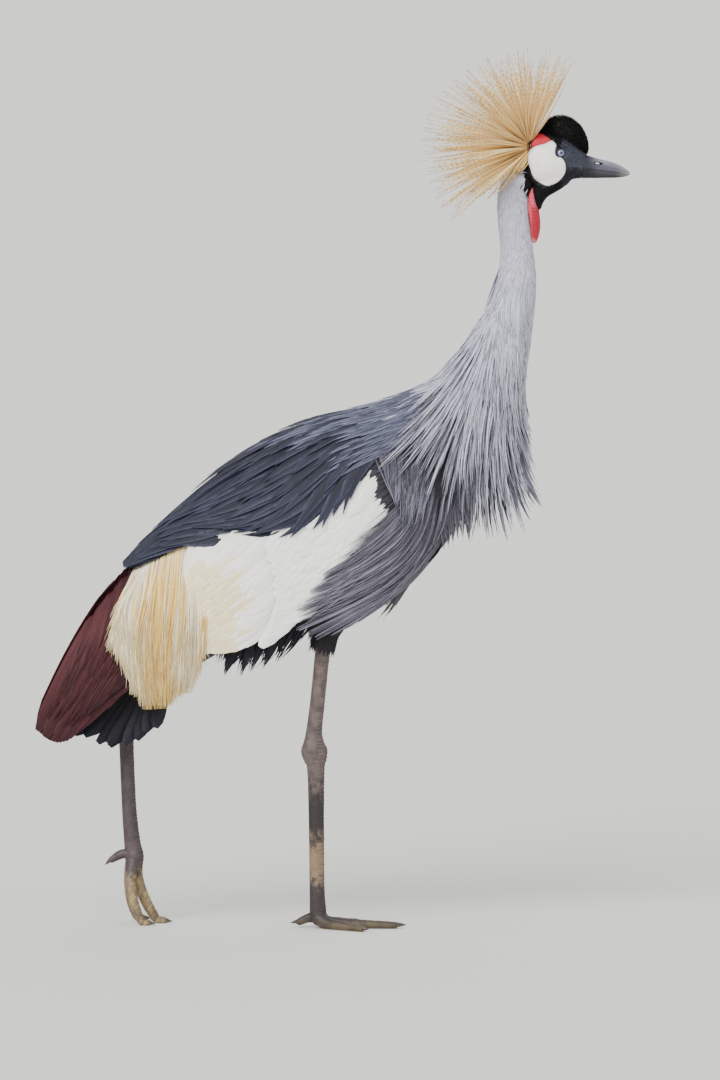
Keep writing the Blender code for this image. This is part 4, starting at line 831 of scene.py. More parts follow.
for label, side in SIDES.items():
    x, z = np.meshgrid(np.linspace(0.2400, 0.2935, 120), np.linspace(0.9245, 0.9985, 165), indexing="ij")
    flat = np.stack([x, z], -1)
    white, red = inside(flat, CHEEK), inside(flat, RED_PATCH)
    within = np.maximum(white, red)
    reach = skin_reach(x, z, side)
    found = reach > 0.002
    for _ in range(6):
        reach[1:-1, 1:-1] = (reach[:-2, 1:-1] + reach[2:, 1:-1] + reach[1:-1, :-2] + reach[1:-1, 2:]) / 4
    crease = 0.00012 * np.sin(900 * (z + 0.4 * x) + 2 * np.sin(300 * x))
    lift = -0.0020 + 0.0034 * smooth_step(within, -0.0010, 0.0014) + crease * (within > 0)
    sheet = np.stack([x, side * (reach + lift), z], -1)
    index = np.arange(x.size).reshape(x.shape)
    keep = (within[:-1, :-1] > -0.0022) & found[:-1, :-1] & found[1:, 1:] & found[1:, :-1] & found[:-1, 1:]
    quads = np.stack([index[:-1, :-1], index[1:, :-1], index[1:, 1:], index[:-1, 1:]], -1)[keep]
    used, quads = np.unique(quads, return_inverse=True)
    quads = quads.reshape(-1, 4)[:, ::-int(side)]
    cheek = flat_mesh("cheek_skin_" + label, sheet.reshape(-1, 3)[used], (quads,), cheek_finish)
    white, red, z = (numbers.ravel()[used] for numbers in (white, red, z))
    keep_tint(cheek, painted(
        (246, 242, 240), ((216, 200, 202), 1 - smooth_step(white, 0.0, 0.003)),
        ((232, 214, 216), 0.6 * (1 - smooth_step(z, 0.930, 0.952))),
        ((188, 24, 44), smooth_step(red - white, -0.0004, 0.0006)),
    ))
    applied(cheek, "SOLIDIFY", thickness=0.0010, offset=-1.0)
    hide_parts("cheek_" + label)

# %% [markdown]
# Eyes and lids
# The eye is nearly all pale blue-grey iris with a small pupil. The ball sits in a sunk socket and a ring of
# thin, dark, folded lid runs round it. A clear coat gives the wet shine.

# %% Eyes
eye_finish, net, shader = new_finish("eye_finish", Roughness=0.25, Coat_Weight=1.0, Coat_Roughness=0.03)
ring_at, streaks = net.kept("ring"), net.noise(net.kept("spoke"), 30.0, 3.0)
iris = net.mix(streaks, colour(92, 112, 148), colour(130, 150, 184))
iris = net.mix(net.ramp(ring_at, 0.0015, 0.0026, 0.5, 0.0), iris, colour(92, 106, 134))
iris = net.mix(net.ramp(ring_at, 0.0036, 0.0046), iris, colour(30, 36, 48))
iris = net.mix(net.ramp(ring_at, 0.0017, 0.0021, 1.0, 0.0), iris, colour(3, 3, 4))
net.feed(shader, Base_Color=iris)
lid_finish = hide_finish("lid_finish", (24, 24, 27), 0.0006, 0.5, 0.4)
for label, side in SIDES.items():
    middle = EYE_MIDDLE * (1, side, 1)
    way = unit(np.array((0.22, side, 0.10)))
    first = unit(np.cross(way, (0.0, 0.0, 1.0)))
    second = np.cross(way, first)
    polar, turn = np.linspace(0.02, math.pi - 0.02, 60)[:, None], circle(96)[None]
    flat = np.cos(turn)[..., None] * first + np.sin(turn)[..., None] * second
    ball = middle + EYE_RADIUS * (np.cos(polar)[..., None] * way + np.sin(polar)[..., None] * flat)
    eyeball = loft("eyeball_" + label, ball, eye_finish)
    keep_number(eyeball.data, "ring", EYE_RADIUS * np.sin(polar) + 0.01 * (polar > 1.6), ball.shape[:2])
    keep_number(eyeball.data, "spoke", turn, ball.shape[:2])
    thick, around_eye = circle(20)[None], circle(120)[:, None]
    out = np.cos(around_eye)[..., None] * first + np.sin(around_eye)[..., None] * second
    fold = 0.0010 * (1 + 0.12 * np.sin(23 * around_eye) * np.cos(thick))
    major = 0.0060 + 0.0004 * np.cos(around_eye)
    lid = middle + 0.0013 * way + out * (major + fold * np.cos(thick))[..., None]
    lid = lid + way * (fold * 0.9 * np.sin(thick))[..., None]
    index = np.arange(lid.shape[0] * 20).reshape(-1, 20)
    quads = np.stack([index, np.roll(index, -1, 0), np.roll(np.roll(index, -1, 0), -1, 1),
                      np.roll(index, -1, 1)], -1)
    lids = flat_mesh("lids_" + label, lid.reshape(-1, 3), (quads.reshape(-1, 4)[:, ::-1],), lid_finish)
    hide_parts("eye_" + label)

# %% [markdown]
# Bill
# The bill is slate horn, paler on the ridge and at the tip, and the halves meet in a fine line. A crane's
# nostrils open into each other, so that light shows through them. The sides are pressed in to a slot first,
# and the hole is then cut through with a Boolean; the slot round the hole is painted near black as painted
# shade in the recess. Each half has a tint for its side, for its edge or ridge, and for its root.

# %% Bill halves
BILL_ROWS = metres(
    (3120, 9500, 170, 130, 98), (3183, 9492, 160, 118, 86), (3290, 9479, 138, 106, 71),
    (3400, 9466, 124, 90, 59), (3510, 9452, 108, 75, 47), (3610, 9439, 74, 54, 33),
    (3675, 9430, 40, 27, 20), (3706, 9425, 6, 4, 4),
)
BILL_HALVES = (("upper", 1.0, 1.15, 0.35, (74, 75, 88), (116, 116, 130), (36, 38, 46)),
               ("lower", -1.0, 0.90, 0.30, (56, 55, 61), (34, 33, 37), (22, 23, 27)))
NOSTRIL = np.array((0.3316, 0.9556))
BILL_STEPS, BILL_COLUMNS = 120, 57
for half, upward, power, low, side_tint, ridge_tint, root_tint in BILL_HALVES:
    row = spread(BILL_ROWS, np.linspace(0, 1, BILL_STEPS) ** 0.9)[:, None]
    turn = np.radians(np.linspace(-90, 90, BILL_COLUMNS))[None]
    tall = row[..., 2] if upward > 0 else row[..., 3]
    y = row[..., 4] * np.sign(turn) * np.abs(np.sin(turn)) ** 0.85
    z = row[..., 1] + upward * (0.00022 + tall * np.cos(turn) ** power)
    bill = np.stack([np.broadcast_to(row[..., 0], y.shape), y, z], -1)
    ahead, over = bill[..., 0] - NOSTRIL[0], bill[..., 2] - NOSTRIL[1]
    near = np.hypot(ahead / 0.0062, (over + 0.10 * ahead) / 0.0019)
    slot = (1 - smooth_step(near, 0.55, 1.1)) * (upward > 0)
    groove = np.exp(-((bill[..., 2] - row[..., 1] - 0.50 * tall) / 0.0011) ** 2)
    groove = groove * smooth_step(-row[..., 0], -0.352, -0.338) * (upward > 0)
    bill[..., 1] *= 1 - 0.55 * slot - 0.07 * groove
    horn = loft("bill_" + half + "_horn", bill, bill_finish)
    x, _, z = bill.reshape(-1, 3).T
    share = np.clip((z - np.repeat(row[:, 0, 1], BILL_COLUMNS)) / np.repeat(tall[:, 0],
                                                                            BILL_COLUMNS) * upward, 0, 1)
    # The near-black (8, 8, 9) over the nostril slot is painted shade in the recess.
    keep_tint(horn, painted(
        side_tint, (ridge_tint, smooth_step(share, low, 0.9)), (root_tint,
                                                                1 - smooth_step(x, 0.3160, 0.3360)),
        ((140, 134, 134), 0.75 * smooth_step(x, 0.350, 0.369) * (0.4 + 0.6 * share)), ((8, 8, 9),
                                                                                       slot.ravel()),
    ))
    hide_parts("bill_" + half)
    if upward > 0:
        turn = circle(32)
        ring = np.stack([NOSTRIL[0] - 0.0016 + 0.0026 * np.cos(turn), 0 * turn,
                         NOSTRIL[1] + 0.0008 * np.sin(turn)], -1)
        cutter = loft("nostril_cutter", ring[None] + np.array([[(0, -0.02, 0)], [(0, 0.02, 0)]]), bill_finish)
        applied(horn, "BOOLEAN", object=cutter, operation="DIFFERENCE", solver="EXACT")
        bpy.data.objects.remove(cutter)
    print("bill", half, "corners:", len(horn.data.vertices))

# %% [markdown]
# Wattle
# A small red lobe of bare skin hangs from the throat. It is soft and wrinkled across, so its rings swell and
# shrink a little on the way down.

# %% Wattle
WATTLE_ROWS = metres(
    (9260, 2500, 20, 40), (9170, 2484, 58, 92), (9070, 2486, 68, 106), (8980, 2500, 78, 106),
    (8900, 2512, 76, 100), (8800, 2520, 70, 88), (8680, 2524, 56, 66), (8590, 2520, 34, 42),
    (8560, 2516, 8, 8),
)
z, x, deep, wide = np.moveaxis(spread(WATTLE_ROWS, np.linspace(0, 1, 110))[:, None], -1, 0)
turn = circle(72)[None]
fold = 1 + 0.02 * np.sin(z * 1500 + 1.3 * np.sin(3 * turn)) + 0.05 * np.sin(4 * turn + z * 160)
lobe = np.stack([x + deep * fold * np.cos(turn), wide * fold * np.sin(turn), np.broadcast_to(z, fold.shape)],
                -1)
wattle = loft("wattle_skin", lobe, wattle_finish)
x, _, z = lobe.reshape(-1, 3).T
crimson = smooth_step(x - 0.06 * (0.90 - z), 0.2462, 0.2490) * smooth_step(-z, -0.908, -0.896)
pale = 0.6 * (1 - smooth_step(z + 0.6 * (x - 0.252), 0.857, 0.864))
keep_tint(wattle, painted((206, 74, 94), ((166, 8, 36), crimson), ((224, 156, 160), pale)))
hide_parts("throat_wattle")

# %% [markdown]
# Neck feathers
# High on the neck the feathers are short and soft and lie like plush. Lower down each is longer than the one
# above, until at the base they are long hackles. So one tract covers the neck, with the length growing
# towards the body.

# %% The smooth neck
DENSE = 1.0


def scatter(count, low, high, jitter=0.9):
    """Evenly spread pairs of numbers between low and high, each moved a little by chance."""
    count = max(4, int(count * DENSE))
    across = max(2, int(round(math.sqrt(count))))
    down = max(2, int(math.ceil(count / across)))
    r, c = np.meshgrid((np.arange(down) + 0.5) / down, (np.arange(across) + 0.5) / across, indexing="ij")
    c = c + (np.arange(down)[:, None] % 2) * 0.5 / across
    r = r.ravel() + jitter * (chance.random(r.size) - 0.5) / down
    c = c.ravel() % 1.0 + jitter * (chance.random(r.size) - 0.5) / across
    return low[0] + (high[0] - low[0]) * r, low[1] + (high[1] - low[1]) * c


def spread_by(s, table):
    """A number for each station, read from pairs of a station and a number."""
    return np.interp(s, [row[0] for row in table], [row[1] for row in table])


def backward(s, angle, lengths, turn, steps, lifts, extra=0.0, cloak=True):
    """Paths that run back along the body from each root by a length in metres."""
    roots = np.stack([s, angle], -1)
    tips = roots + np.stack([-lengths / line_at(s)[2], np.broadcast_to(turn, lengths.shape)], -1)
    tips[:, 0] = np.maximum(tips[:, 0], 0.05)
    return laid(roots, tips, lifts, steps, 0.0, extra, cloak)


for label, low, high, count, steps in (("high", 17.0, 19.9, 2900, 4), ("mid", 13.4, 17.0, 3000, 5)):
    s, angle = scatter(count, (low, -180), (high, 180))
    length = spread_by(s, ((13.4, 0.052), (15.0, 0.042), (16.0, 0.034), (17.0, 0.027), (18.5, 0.020),
                           (20.0, 0.012)))
    length = length * some(0.8, 0.35, s)
    paths = backward(s, angle, length, about(0, 6, s), steps, (-0.003, 0.0010, 0.0018, 0.0022),
                     some(0, 0.0008, s))
    start = on_body(s, angle)
    black = about(start[:, 0], 0.0012, s) > black_from(start[:, 2])
    half = spread_by(s, ((13.4, 0.0021), (16.0, 0.0016), (20.0, 0.0012)))
    for tint, slot, chosen, coat in (("grey", "neck_grey", ~black, "neck"),
                                     ("black", "face_black", black, "face")):
        if chosen.sum() > 3:
            feathers(f"neck_{label}_{tint}", slot, paths, half, coat, thick=0.0004, roll=0.15,
                     home=(s, angle),
                     chosen=chosen)

# %% [markdown]
# Hackles
# The long hackles of the neck's base fall over the breast and shoulders like a cape. Those of the front hang
# straight down past the breast and end in free points, and the dark roots show between the pale tips; these
# dark roots and fringes are partly painted shade in the gaps between the strands.

# %% Hackles of the front, sides and back
HACKLE_ROOTS = np.array((12.3, 13.0, 13.7, 14.4, 15.6))
HACKLE_LOW, HACKLE_RUN = 12.3, 3.3
HACKLE_TIPS = metres(
    ((400, 5750), (920, 5560), (1400, 5200), (1660, 4900), (1960, 4820), (2260, 4840), (2660, 5200)),
    ((660, 6150), (1080, 5880), (1450, 5560), (1760, 5300), (2060, 5180), (2340, 5200), (2620, 5450)),
    ((1000, 6600), (1340, 6340), (1660, 6120), (1940, 5960), (2200, 5900), (2380, 5860), (2520, 5900)),
    ((1460, 7080), (1700, 6920), (1900, 6800), (2080, 6700), (2220, 6640), (2340, 6600), (2425, 6620)),
    ((1820, 7520), (1940, 7440), (2060, 7380), (2170, 7340), (2270, 7320), (2360, 7320), (2440, 7340)),
)


def hackle_tip(s, share):
    """Where a hackle from station s ends in the side view, for a share from the back to the front."""
    rows, columns = HACKLE_TIPS.shape[:2]
    ends = spread(np.moveaxis(HACKLE_TIPS, 1, 0).reshape(columns, 2 * rows),
                  np.clip(share, 0, 1)).reshape(-1, rows, 2)
    t = np.interp(s, HACKLE_ROOTS, np.arange(rows))
    low = np.minimum(t.astype(int), rows - 2)
    each = np.arange(len(s))
    return ends[each, low] + (ends[each, low + 1] - ends[each, low]) * (t - low)[:, None]


def locks(values, steps, pull, jitter, side=0.0):
    """Numbers pulled towards the middle of their lock, so that tips come together, and each lock's own."""
    shifted = values + jitter * (chance.random(values.shape) - 0.5) / steps
    cell = np.floor(shifted * steps)
    mixed = cell[:, 0] * 12.9898 + (cell[:, 1] * 78.233 if cell.shape[1] > 1 else 0) + side
    return values + ((cell + 0.5) / steps - values) * pull, np.modf(np.abs(np.sin(mixed) * 43758.5453))[0]


for label, side in SIDES.items():
    s, share = scatter(1300, (12.3, 0.0), (16.4, 1.0))
    share = np.clip(share, 0, 1)
    first = spread_by(s, ((12.3, 56), (13.4, 44), (14.4, 26), (15.6, 8), (16.4, 4)))
    angle = first + (178 - first) * share
    roots = on_body(s, side * angle)[:, [0, 2]]
    drawn, own = locks(np.stack([(s - HACKLE_LOW) / HACKLE_RUN, share], -1), np.array((9.0, 30.0)), 0.55,
                       0.5, side)
    ends = hackle_tip(np.minimum(HACKLE_LOW + HACKLE_RUN * np.clip(drawn[:, 0], 0, 1.25), s + 0.1),
                      drawn[:, 1])
    tips = roots + (ends - roots) * some(0.68 + 0.34 * own, 0.08, s)[:, None]
    arch = about((-0.085 + 0.04 * (own - 0.5)) * smooth_step(share, 0.05, 0.45), 0.010, s)
    near = spread_by(s, ((12.3, 1.0), (14.0, 0.8), (15.6, 0.2))) * (1 - 0.55 * smooth_step(share, 0.75, 1.0))
    rise = near * some(0.0065 + 0.005 * own, 0.006, s)
    paths = draped(straight(roots, tips, 10, arch), side, (-0.0015, 0.0012, 0.002, 0.003), 0.0022, rise)
    half = some(0.0013, 0.0015, s) * spread_by(s, ((12.3, 1.2), (15.6, 0.8)))
    blend = about(s, 0.5, s)
    # Their dark roots and fringes are partly painted shade in the gaps between strands.
    layers = (("dusky", blend < 12.9, "dusky"), ("long", (blend >= 12.9) & (blend < 14.7), "hackle"),
              ("cape", blend >= 14.7, "cape"))
    for layer, chosen, coat in layers:
        feathers(f"hackles_{layer}_{label}", "neck_grey", paths, half, coat, LOCK, 0.0008, roll=0.3,
                 home=(s, angle),
                 tone=(0.65 * own, 0.35), chosen=chosen)
    s, angle = scatter(400, (11.7, 0.0), (15.9, 62.0))
    angle = np.abs(angle)
    length = spread_by(s, ((11.7, 0.085), (13.0, 0.110), (14.6, 0.060), (15.9, 0.045))) * some(0.6, 0.55, s)
    paths = backward(s, side * angle, length, -side * about(4, 3, s), 8, (-0.004, 0.002, 0.003, 0.004),
                     some(spread_by(s, ((12.5, 0.004), (14.5, 0))), 0.002, s))
    feathers("back_hackles_" + label, "neck_grey", paths, (0.0018, 0.0008), "cape", LOCK, 0.0007, roll=0.3,
             home=(s, side * angle))

# %% [markdown]
# Breast
# Under the hackles the breast carries dark slate feathers. The upper ones are drawn out into long narrow
# streamers that sweep back over the front of the wing, some hang from the chest, and a few loose ones cross
# the white.

# %% Breast coat and streamers
SWEEP = metres(
    ((1040, 5880), (1140, 5820), (1260, 5720), (1380, 5560), (1500, 5600), (1580, 5700)),
    ((840, 5240), (980, 5080), (1100, 4920), (1200, 4780), (1320, 4900), (1420, 5080)),
    ((380, 4820), (480, 4600), (560, 4380), (740, 4240), (940, 4400), (1160, 4660)),
    ((-120, 4520), (-300, 4250), (-520, 3920), (-180, 3660), (300, 3880), (720, 4180)),
)
SHOULDER_ROOTS = metres((580, 6180), (780, 6120), (980, 6040), (1200, 5960))
SHOULDER_TIPS = metres((780, 5400), (880, 5060), (980, 5120), (1140, 5160))
LOOSE_ROOTS = metres((1120, 5850), (1180, 5700), (1220, 5500), (1180, 5250))
LOOSE_TIPS = metres((180, 4780), (-120, 4430), (-460, 3960), (-360, 3860))
HANGING_ROOTS = metres((1200, 5450), (1380, 5600), (1560, 5750), (1720, 5900))
HANGING_TIPS = metres((1260, 4820), (1430, 4740), (1580, 4880), (1760, 4780))


def bunched(lines, r, drawn, first, last, steps, power):
    """Places across several lines, that start in even rows and draw together towards their locks."""
    loose, drawn = (along_lines(lines, way, first, last, steps) for way in (r, drawn[:, 0]))
    return loose + (drawn - loose) * (np.linspace(0, 1, steps + 1) ** power)[None, :, None]


def strands(count, roots, tips, bunches, slack, least, more, root_shift=0.0, tip_shift=0.0):
    """Roots along one line and tips along another, where the tips are gathered in bunches."""
    r, c = scatter(count, (0, 0), (1, 1))
    strand = np.floor(r * bunches) / bunches
    roots = spread(roots, r) + (root_shift and root_shift * chance.normal(size=(r.size, 2)))
    tips = spread(tips, strand + (r - strand) * slack) + (tip_shift and tip_shift
                                                          * chance.normal(size=(r.size, 2)))
    return r, c, strand, roots, roots + (tips - roots) * (least + more * c)[:, None]


for label, side in SIDES.items():
    s, angle = scatter(900, (8.9, 62), (12.7, 180))
    paths = backward(s, side * angle, some(0.045, 0.02, s), 0, 4, (-0.004, 0.002, 0.004, 0.005))
    feathers("breast_coat_" + label, "breast_slate", paths, 0.0042, "breast", thick=0.0006,
             home=(s, side * angle))
    r, c = scatter(720, (0, 0), (1, 1))
    r = np.clip(r, 0, 1)
    drawn, own = locks(r[:, None], 20.0, 0.6, 0.8, side)
    begun = some(0, 0.42 * c, r)
    ended = begun + 0.42 + (1 - begun) * 0.58 * c ** (1.2 - 0.9 * own)
    places = bunched(SWEEP, r, drawn, begun, np.minimum(ended, 0.92 + 0.08 * own), 11, 1.3)
    places += 0.004 * chance.normal(size=(r.size, 1, 2)) * np.linspace(1.0, 0.3, 12)[None, :, None]
    paths = draped(places, side, (-0.005, 0.006, 0.008, 0.007), 0.0050, some(0, 0.006, r))
    feathers("streamers_" + label, "breast_slate", paths, (0.0015, 0.0018), "streamer", LOCK, 0.0011,
             roll=0.3,
             home=(r, c), tone=(0.3 * own, 0.7))
    r, c, _, roots, tips = strands(70, LOOSE_ROOTS, LOOSE_TIPS, 12, 0.25, 0.70, 0.3, tip_shift=0.004)
    places = straight(roots, tips, 10, about(0.07, 0.03, r))
    paths = draped(places, side, (0.002, 0.008, 0.011, 0.012), 0.0030, 0.002 * c)
    feathers("loose_streamers_" + label, "breast_slate", paths, (0.0010, 0.0008), "streamer", LOCK, 0.0008,
             roll=0.25, home=(r, c))
    r, c, _, roots, tips = strands(150, SHOULDER_ROOTS, SHOULDER_TIPS, 9, 0.4, 0.55, 0.5, root_shift=0.008)
    places = straight(roots, tips, 8, about(0.06, 0.05, r))
    paths = draped(places, side, (-0.003, 0.007, 0.010, 0.011), 0.0024, 0.002 * c)
    feathers("shoulder_hackles_" + label, "breast_slate", paths, (0.0012, 0.0014), "shoulder", LOCK, 0.0010,
             roll=0.35, home=(r, c))
    r, c, strand, roots, tips = strands(150, HANGING_ROOTS, HANGING_TIPS, 8, 0.2, 0.70, 0.3)
    places = straight(roots, tips, 10, about(0, 0.04, r))
    paths = draped(places, side, (-0.004, 0.006, 0.008, 0.008), 0.0030, 0.004 * c - 0.008)
    feathers("hanging_streamers_" + label, "breast_slate", paths, (0.0013, 0.0009), "streamer", LOCK, 0.0008,
             roll=0.3, home=(r, c), tone=(0.6 * strand, 0.4))

# %% [markdown]
# Back and scapulars
# The mantle and scapulars are dark slate lance-shaped feathers. They start along the ridge of the back,
# cross the roots of the wings, and end in points over the white coverts.

# %% Mantle and scapulars
SCAPULAR_RIDGE = ((10.9, 0), (9.7, 0), (8.3, 0), (6.9, 0), (5.5, 0), (4.3, 0))
SCAPULAR_EDGE = metres(
    (860, 6320), (500, 5920), (180, 5420), (-340, 5020), (-1000, 4970), (-1680, 5010), (-2150, 4680),
    (-2520, 4440),
)


def scapular_spot(r, c, side):
    ridge, edge = spread(SCAPULAR_RIDGE, np.clip(r, 0, 1)), side_spot(spread(SCAPULAR_EDGE,
                                                                             np.clip(r, 0, 1)), side)
    return ridge + (edge - ridge) * c[:, None]


for label, side in SIDES.items():
    for layer, count, reach, half, fall, lifts in (
            ("close", 380, 0.16, 0.0056, 0.10, (-0.002, 0.003, 0.005, 0.006)),
            ("long", 135, 0.25, 0.0105, 0.20, (-0.001, 0.005, 0.009, 0.011))):
        r, c = scatter(count, (0.0, 0.02), (0.84, 1.0))
        c = np.clip(c, 0.01, 1)
        reach = reach * some(0.85, 0.35, r)
        down = fall * (1 - 0.8 * smooth_step(r, 0.45, 0.8)) * smooth_step(c, 0.0, 0.3)
        edge = 1.0 + 0.06 * (chance.random(r.size) - 0.4) * (layer == "long")
        roots, tips = scapular_spot(r, c * 0.95, side), scapular_spot(r + reach, np.minimum(c + down, edge),
                                                                      side)
        paths = laid(roots, tips, lifts, 8, side * 3 * smooth_step(c, 0.1, 0.5), some(0, 0.002, r))
        feathers(f"scapulars_{layer}_{label}", "scapular_slate", paths, half * some(0.8, 0.45, r),
                 "scapular", LOCK,
                 0.0010, 0.14, 0.08, (r, c), True)
    s, angle = scatter(230, (8.4, 2), (12.2, 70))
    keep = chance.random(s.size) < smooth_step(s - angle / 45, 8.2, 10.2)
    s, angle = s[keep], side * angle[keep]
    paths = backward(s, angle, some(0.065, 0.04, s), side * 5, 7, (-0.002, 0.006, 0.009, 0.011))
    feathers("mantle_" + label, "scapular_slate", paths, (0.0038, 0.0018), "mantle", LOCK, 0.0009, 0.12, 0.12,
             (s, angle), True)

# %% [markdown]
# Wing coverts
# The folded wing shows its white coverts as a wide panel of rounded feathers, which lie over each other like
# shingles from front to back. Those of the front group end on one line, and towards the rear they are cream.

# %% Coverts
COVERT_TOP = metres((-1840, 4820), (-1500, 5060), (-870, 5160), (-400, 5320), (100, 5620), (620, 6060))
COVERT_EDGE = metres((-1660, 3520), (-1320, 3540), (-980, 3660), (-400, 4000), (240, 4380), (920, 5250))
FRONT_GROUP_EDGE = metres(
    (3400, -940), (3620, -850), (3850, -720), (4210, -680), (4590, -720), (4860, -860), (5400, -1000),
)


def covert_spot(r, c):
    r, c = np.clip(r, 0, 1), c[:, None]
    return spread(COVERT_TOP, r) * (1 - c) + spread(COVERT_EDGE, r) * c


for label, side in SIDES.items():
    r, c = scatter(460, (0.10, -0.09), (1.04, 0.80), 0.8)
    roots, tips = covert_spot(r, c), covert_spot(r - 0.20 - some(0, 0.06, r), np.clip(c + 0.30, 0, 1.0))
    edge = spread_by(tips[:, 1], FRONT_GROUP_EDGE)
    in_front = roots[:, 0] > edge + 0.028
    tips[:, 0] = np.where(in_front, np.maximum(tips[:, 0], about(edge, 0.002, r)), tips[:, 0])
    places = straight(roots, tips, 8, 0.05)
    path = draped(places, side, (-0.002, 0.003, 0.005, 0.007), 0.004, 0.002 * in_front)[0]
    up = unit(on_side(places, side, 0.012) - on_side(places, side, 0.004))
    half = some(0.0080, 0.004, r)
    creamy = smooth_step(-tips[:, 0], 0.100, 0.150) * smooth_step(-tips[:, 1], -0.475, -0.435)
    creamy = creamy > some(0.05, 0.8, r)
    for tint, chosen, coat in (("white", ~creamy, "covert"), ("cream", creamy, "cream")):
        feathers(f"coverts_{tint}_{label}", "covert_white", (path, up), half, coat, PADDLE, 0.0009, 0.16,
                 0.05,
                 (r, c), True, chosen=chosen)

# %% [markdown]
# Golden plumes and chestnut secondaries
# Behind the coverts hangs a fringe of hair-like plumes, cream at the root and gold at the tip. Under and
# behind it the chestnut secondaries droop over the tail, long and broad.

# %% Plumes and secondaries
PLUME_LINES = metres(
    ((-2450, 4525), (-2330, 4610), (-2200, 4730), (-2050, 4830), (-1850, 4900), (-1650, 4820),
     (-1530, 4600)),
    ((-2640, 4090), (-2540, 3900), (-2360, 3780), (-2140, 3780), (-1915, 3840), (-1720, 3900),
     (-1560, 3980)),
    ((-2770, 3600), (-2490, 3060), (-2280, 2780), (-2140, 2800), (-1970, 2850), (-1780, 2970),
     (-1600, 3450)),
)
SECONDARY_LINES = metres(
    ((-2720, 4280), (-2580, 4460), (-2380, 4640), (-2050, 4800)),
    ((-3175, 3480), (-2880, 3440), (-2520, 3500), (-2050, 3680)),
    ((-3670, 2500), (-3460, 2380), (-3200, 2500), (-2660, 3100)),
)
GOLDEN = ((0, 0.1), (0.20, 0.15), (0.32, 0.6), (0.50, 0.85), (0.64, 0.85), (0.74, 0.3), (0.84, 0.05),
          (0.92, 0.2),
          (1.0, 0.7))
for label, side in SIDES.items():
    r, c = scatter(2600, (0, 0), (1, 1))
    drawn, own = locks(r[:, None], 18.0, 0.5, 0.7, side)
    start = 0.50 * c + 0.25 * smooth_step(r, 0.75, 1.0) * (1 - c)
    ended = np.minimum(some(start + 0.48, 0.24, r), 0.90 + 0.12 * own)
    places, t = bunched(PLUME_LINES, r, drawn, start, ended, 8, 1.5), np.linspace(0, 1, 9)
    wave = 0.004 * chance.normal(size=(r.size, 1)) * t**2
    places[..., 0] += wave + 0.0015 * np.sin(6 * t + 9 * own[:, None])
    paths = draped(places, side, (-0.001, 0.003, 0.005, 0.006), 0.0015, some(0, 0.006, r))
    rich = spread_by(about(r, 0.02, r), GOLDEN)
    golden = chance.random(r.size) < rich
    for tint, chosen, coat in (("gold", golden, "straw"), ("pale", ~golden, "pale_straw")):
        feathers(f"plumes_{tint}_{label}", "plume_straw", paths, (0.0005, 0.0006), coat, THREAD, 0.0004,
                 roll=0.5,
                 home=(r, c), chosen=chosen)
    r, c = scatter(60, (0.0, 0.0), (0.36, 0.4))
    places = along_lines(PLUME_LINES, r, c, np.minimum(c + 0.75, some(0.80, 0.2, r)), 8)
    paths = draped(places, side, (-0.001, 0.004, 0.006, 0.007), 0.0015, some(0, 0.004, r))
    feathers("plume_straps_" + label, "plume_straw", paths, (0.0028, 0.0014), "pale_straw", LOCK, 0.0009,
             0.1, 0.25,
             (r, c), True)
    r, zero = np.linspace(0.0, 1.0, 18), np.zeros(18)
    places = along_lines(SECONDARY_LINES, r, zero, zero + 1, 12)
    paths = draped(places, side, (-0.008, -0.006, -0.005, -0.005), 0.0020, -0.004 * (np.arange(r.size) % 3))
    feathers("secondaries_" + label + "_coat", "secondary_chestnut", paths, 0.0115, "chestnut", BLADE,
             0.0014, 0.08,
             0.08, (r, zero), True)
    for layer, depth in enumerate((-0.022, -0.038)):
        r, zero = np.linspace(0.0, 0.9, 8), np.zeros(8)
        places = along_lines(SECONDARY_LINES, r, zero, zero + 0.98 - 0.02 * layer, 12)
        paths = draped(places, side, (depth, depth, depth), 0.0020, some(0, 0.004, r))
        feathers(f"inner_secondaries_{layer}_{label}", "secondary_chestnut", paths, 0.014, "chestnut", BLADE,
                 0.0014, 0.12, 0.2, (r, zero), True)
    r, c = scatter(150, (0, 0.0), (1, 0.45))
    paths = draped(along_lines(SECONDARY_LINES, r, c, c + 0.45, 8), side, (-0.006, -0.003, -0.001, 0.0),
                   0.0020)
    feathers("greater_coverts_" + label, "secondary_chestnut", paths, 0.0070, "chestnut", LOCK, 0.0010, 0.15,
             0.1,
             (r, c), True)

# %% [markdown]
# Tail, belly and thighs
# Black feathers close the bird below: square-ended tail feathers that show under the secondaries, the shaggy
# coat of the belly, and the short coat that covers the thighs down to the bare legs.

# %% Tail, under parts and thighs
TAIL_TIPS = metres(
    (-3220, 2430), (-3060, 2400), (-2900, 2320), (-2700, 2290), (-2500, 2360), (-2360, 2480), (-2220, 2520),
)
share, hand, ones = np.tile(np.linspace(0.02, 1, 8), 2), np.repeat((-1.0, 1.0), 8), np.ones(16)
ends = spread(TAIL_TIPS, share) + 0.0015 * chance.normal(size=(16, 2))
root = np.stack([-0.228 + 0.022 * share, hand * (0.004 + 0.012 * share), 0.338 + 0.004 * share], -1)
tip = np.stack([ends[:, 0], hand * (0.005 + 0.028 * share), ends[:, 1]], -1)
t = np.linspace(0, 1, 10)[None, :, None]
sag = np.stack([0.008 * (1 - share), 0 * share, -0.006 * ones], -1)[:, None]
path = root[:, None] + (tip - root)[:, None] * t + sag * 4 * t * (1 - t)
out = unit(np.stack([0.35 * ones, 1.5 * hand * (0.25 + share), 0.35 * ones], -1))
out = np.broadcast_to(out[:, None], path.shape)
tract = feathers("tail_coat", "tail_black", (path, out), 0.0100, "tail", SQUARE, 0.0014, 0.05, 0.04,
                 (share, hand), True)
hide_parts("tail")
RUMP_ROOTS = metres((-2620, 3650), (-2300, 3850), (-1950, 4000), (-1500, 4100))
RUMP_TIPS = metres((-2520, 3000), (-2320, 2900), (-2080, 2960), (-1780, 3300))
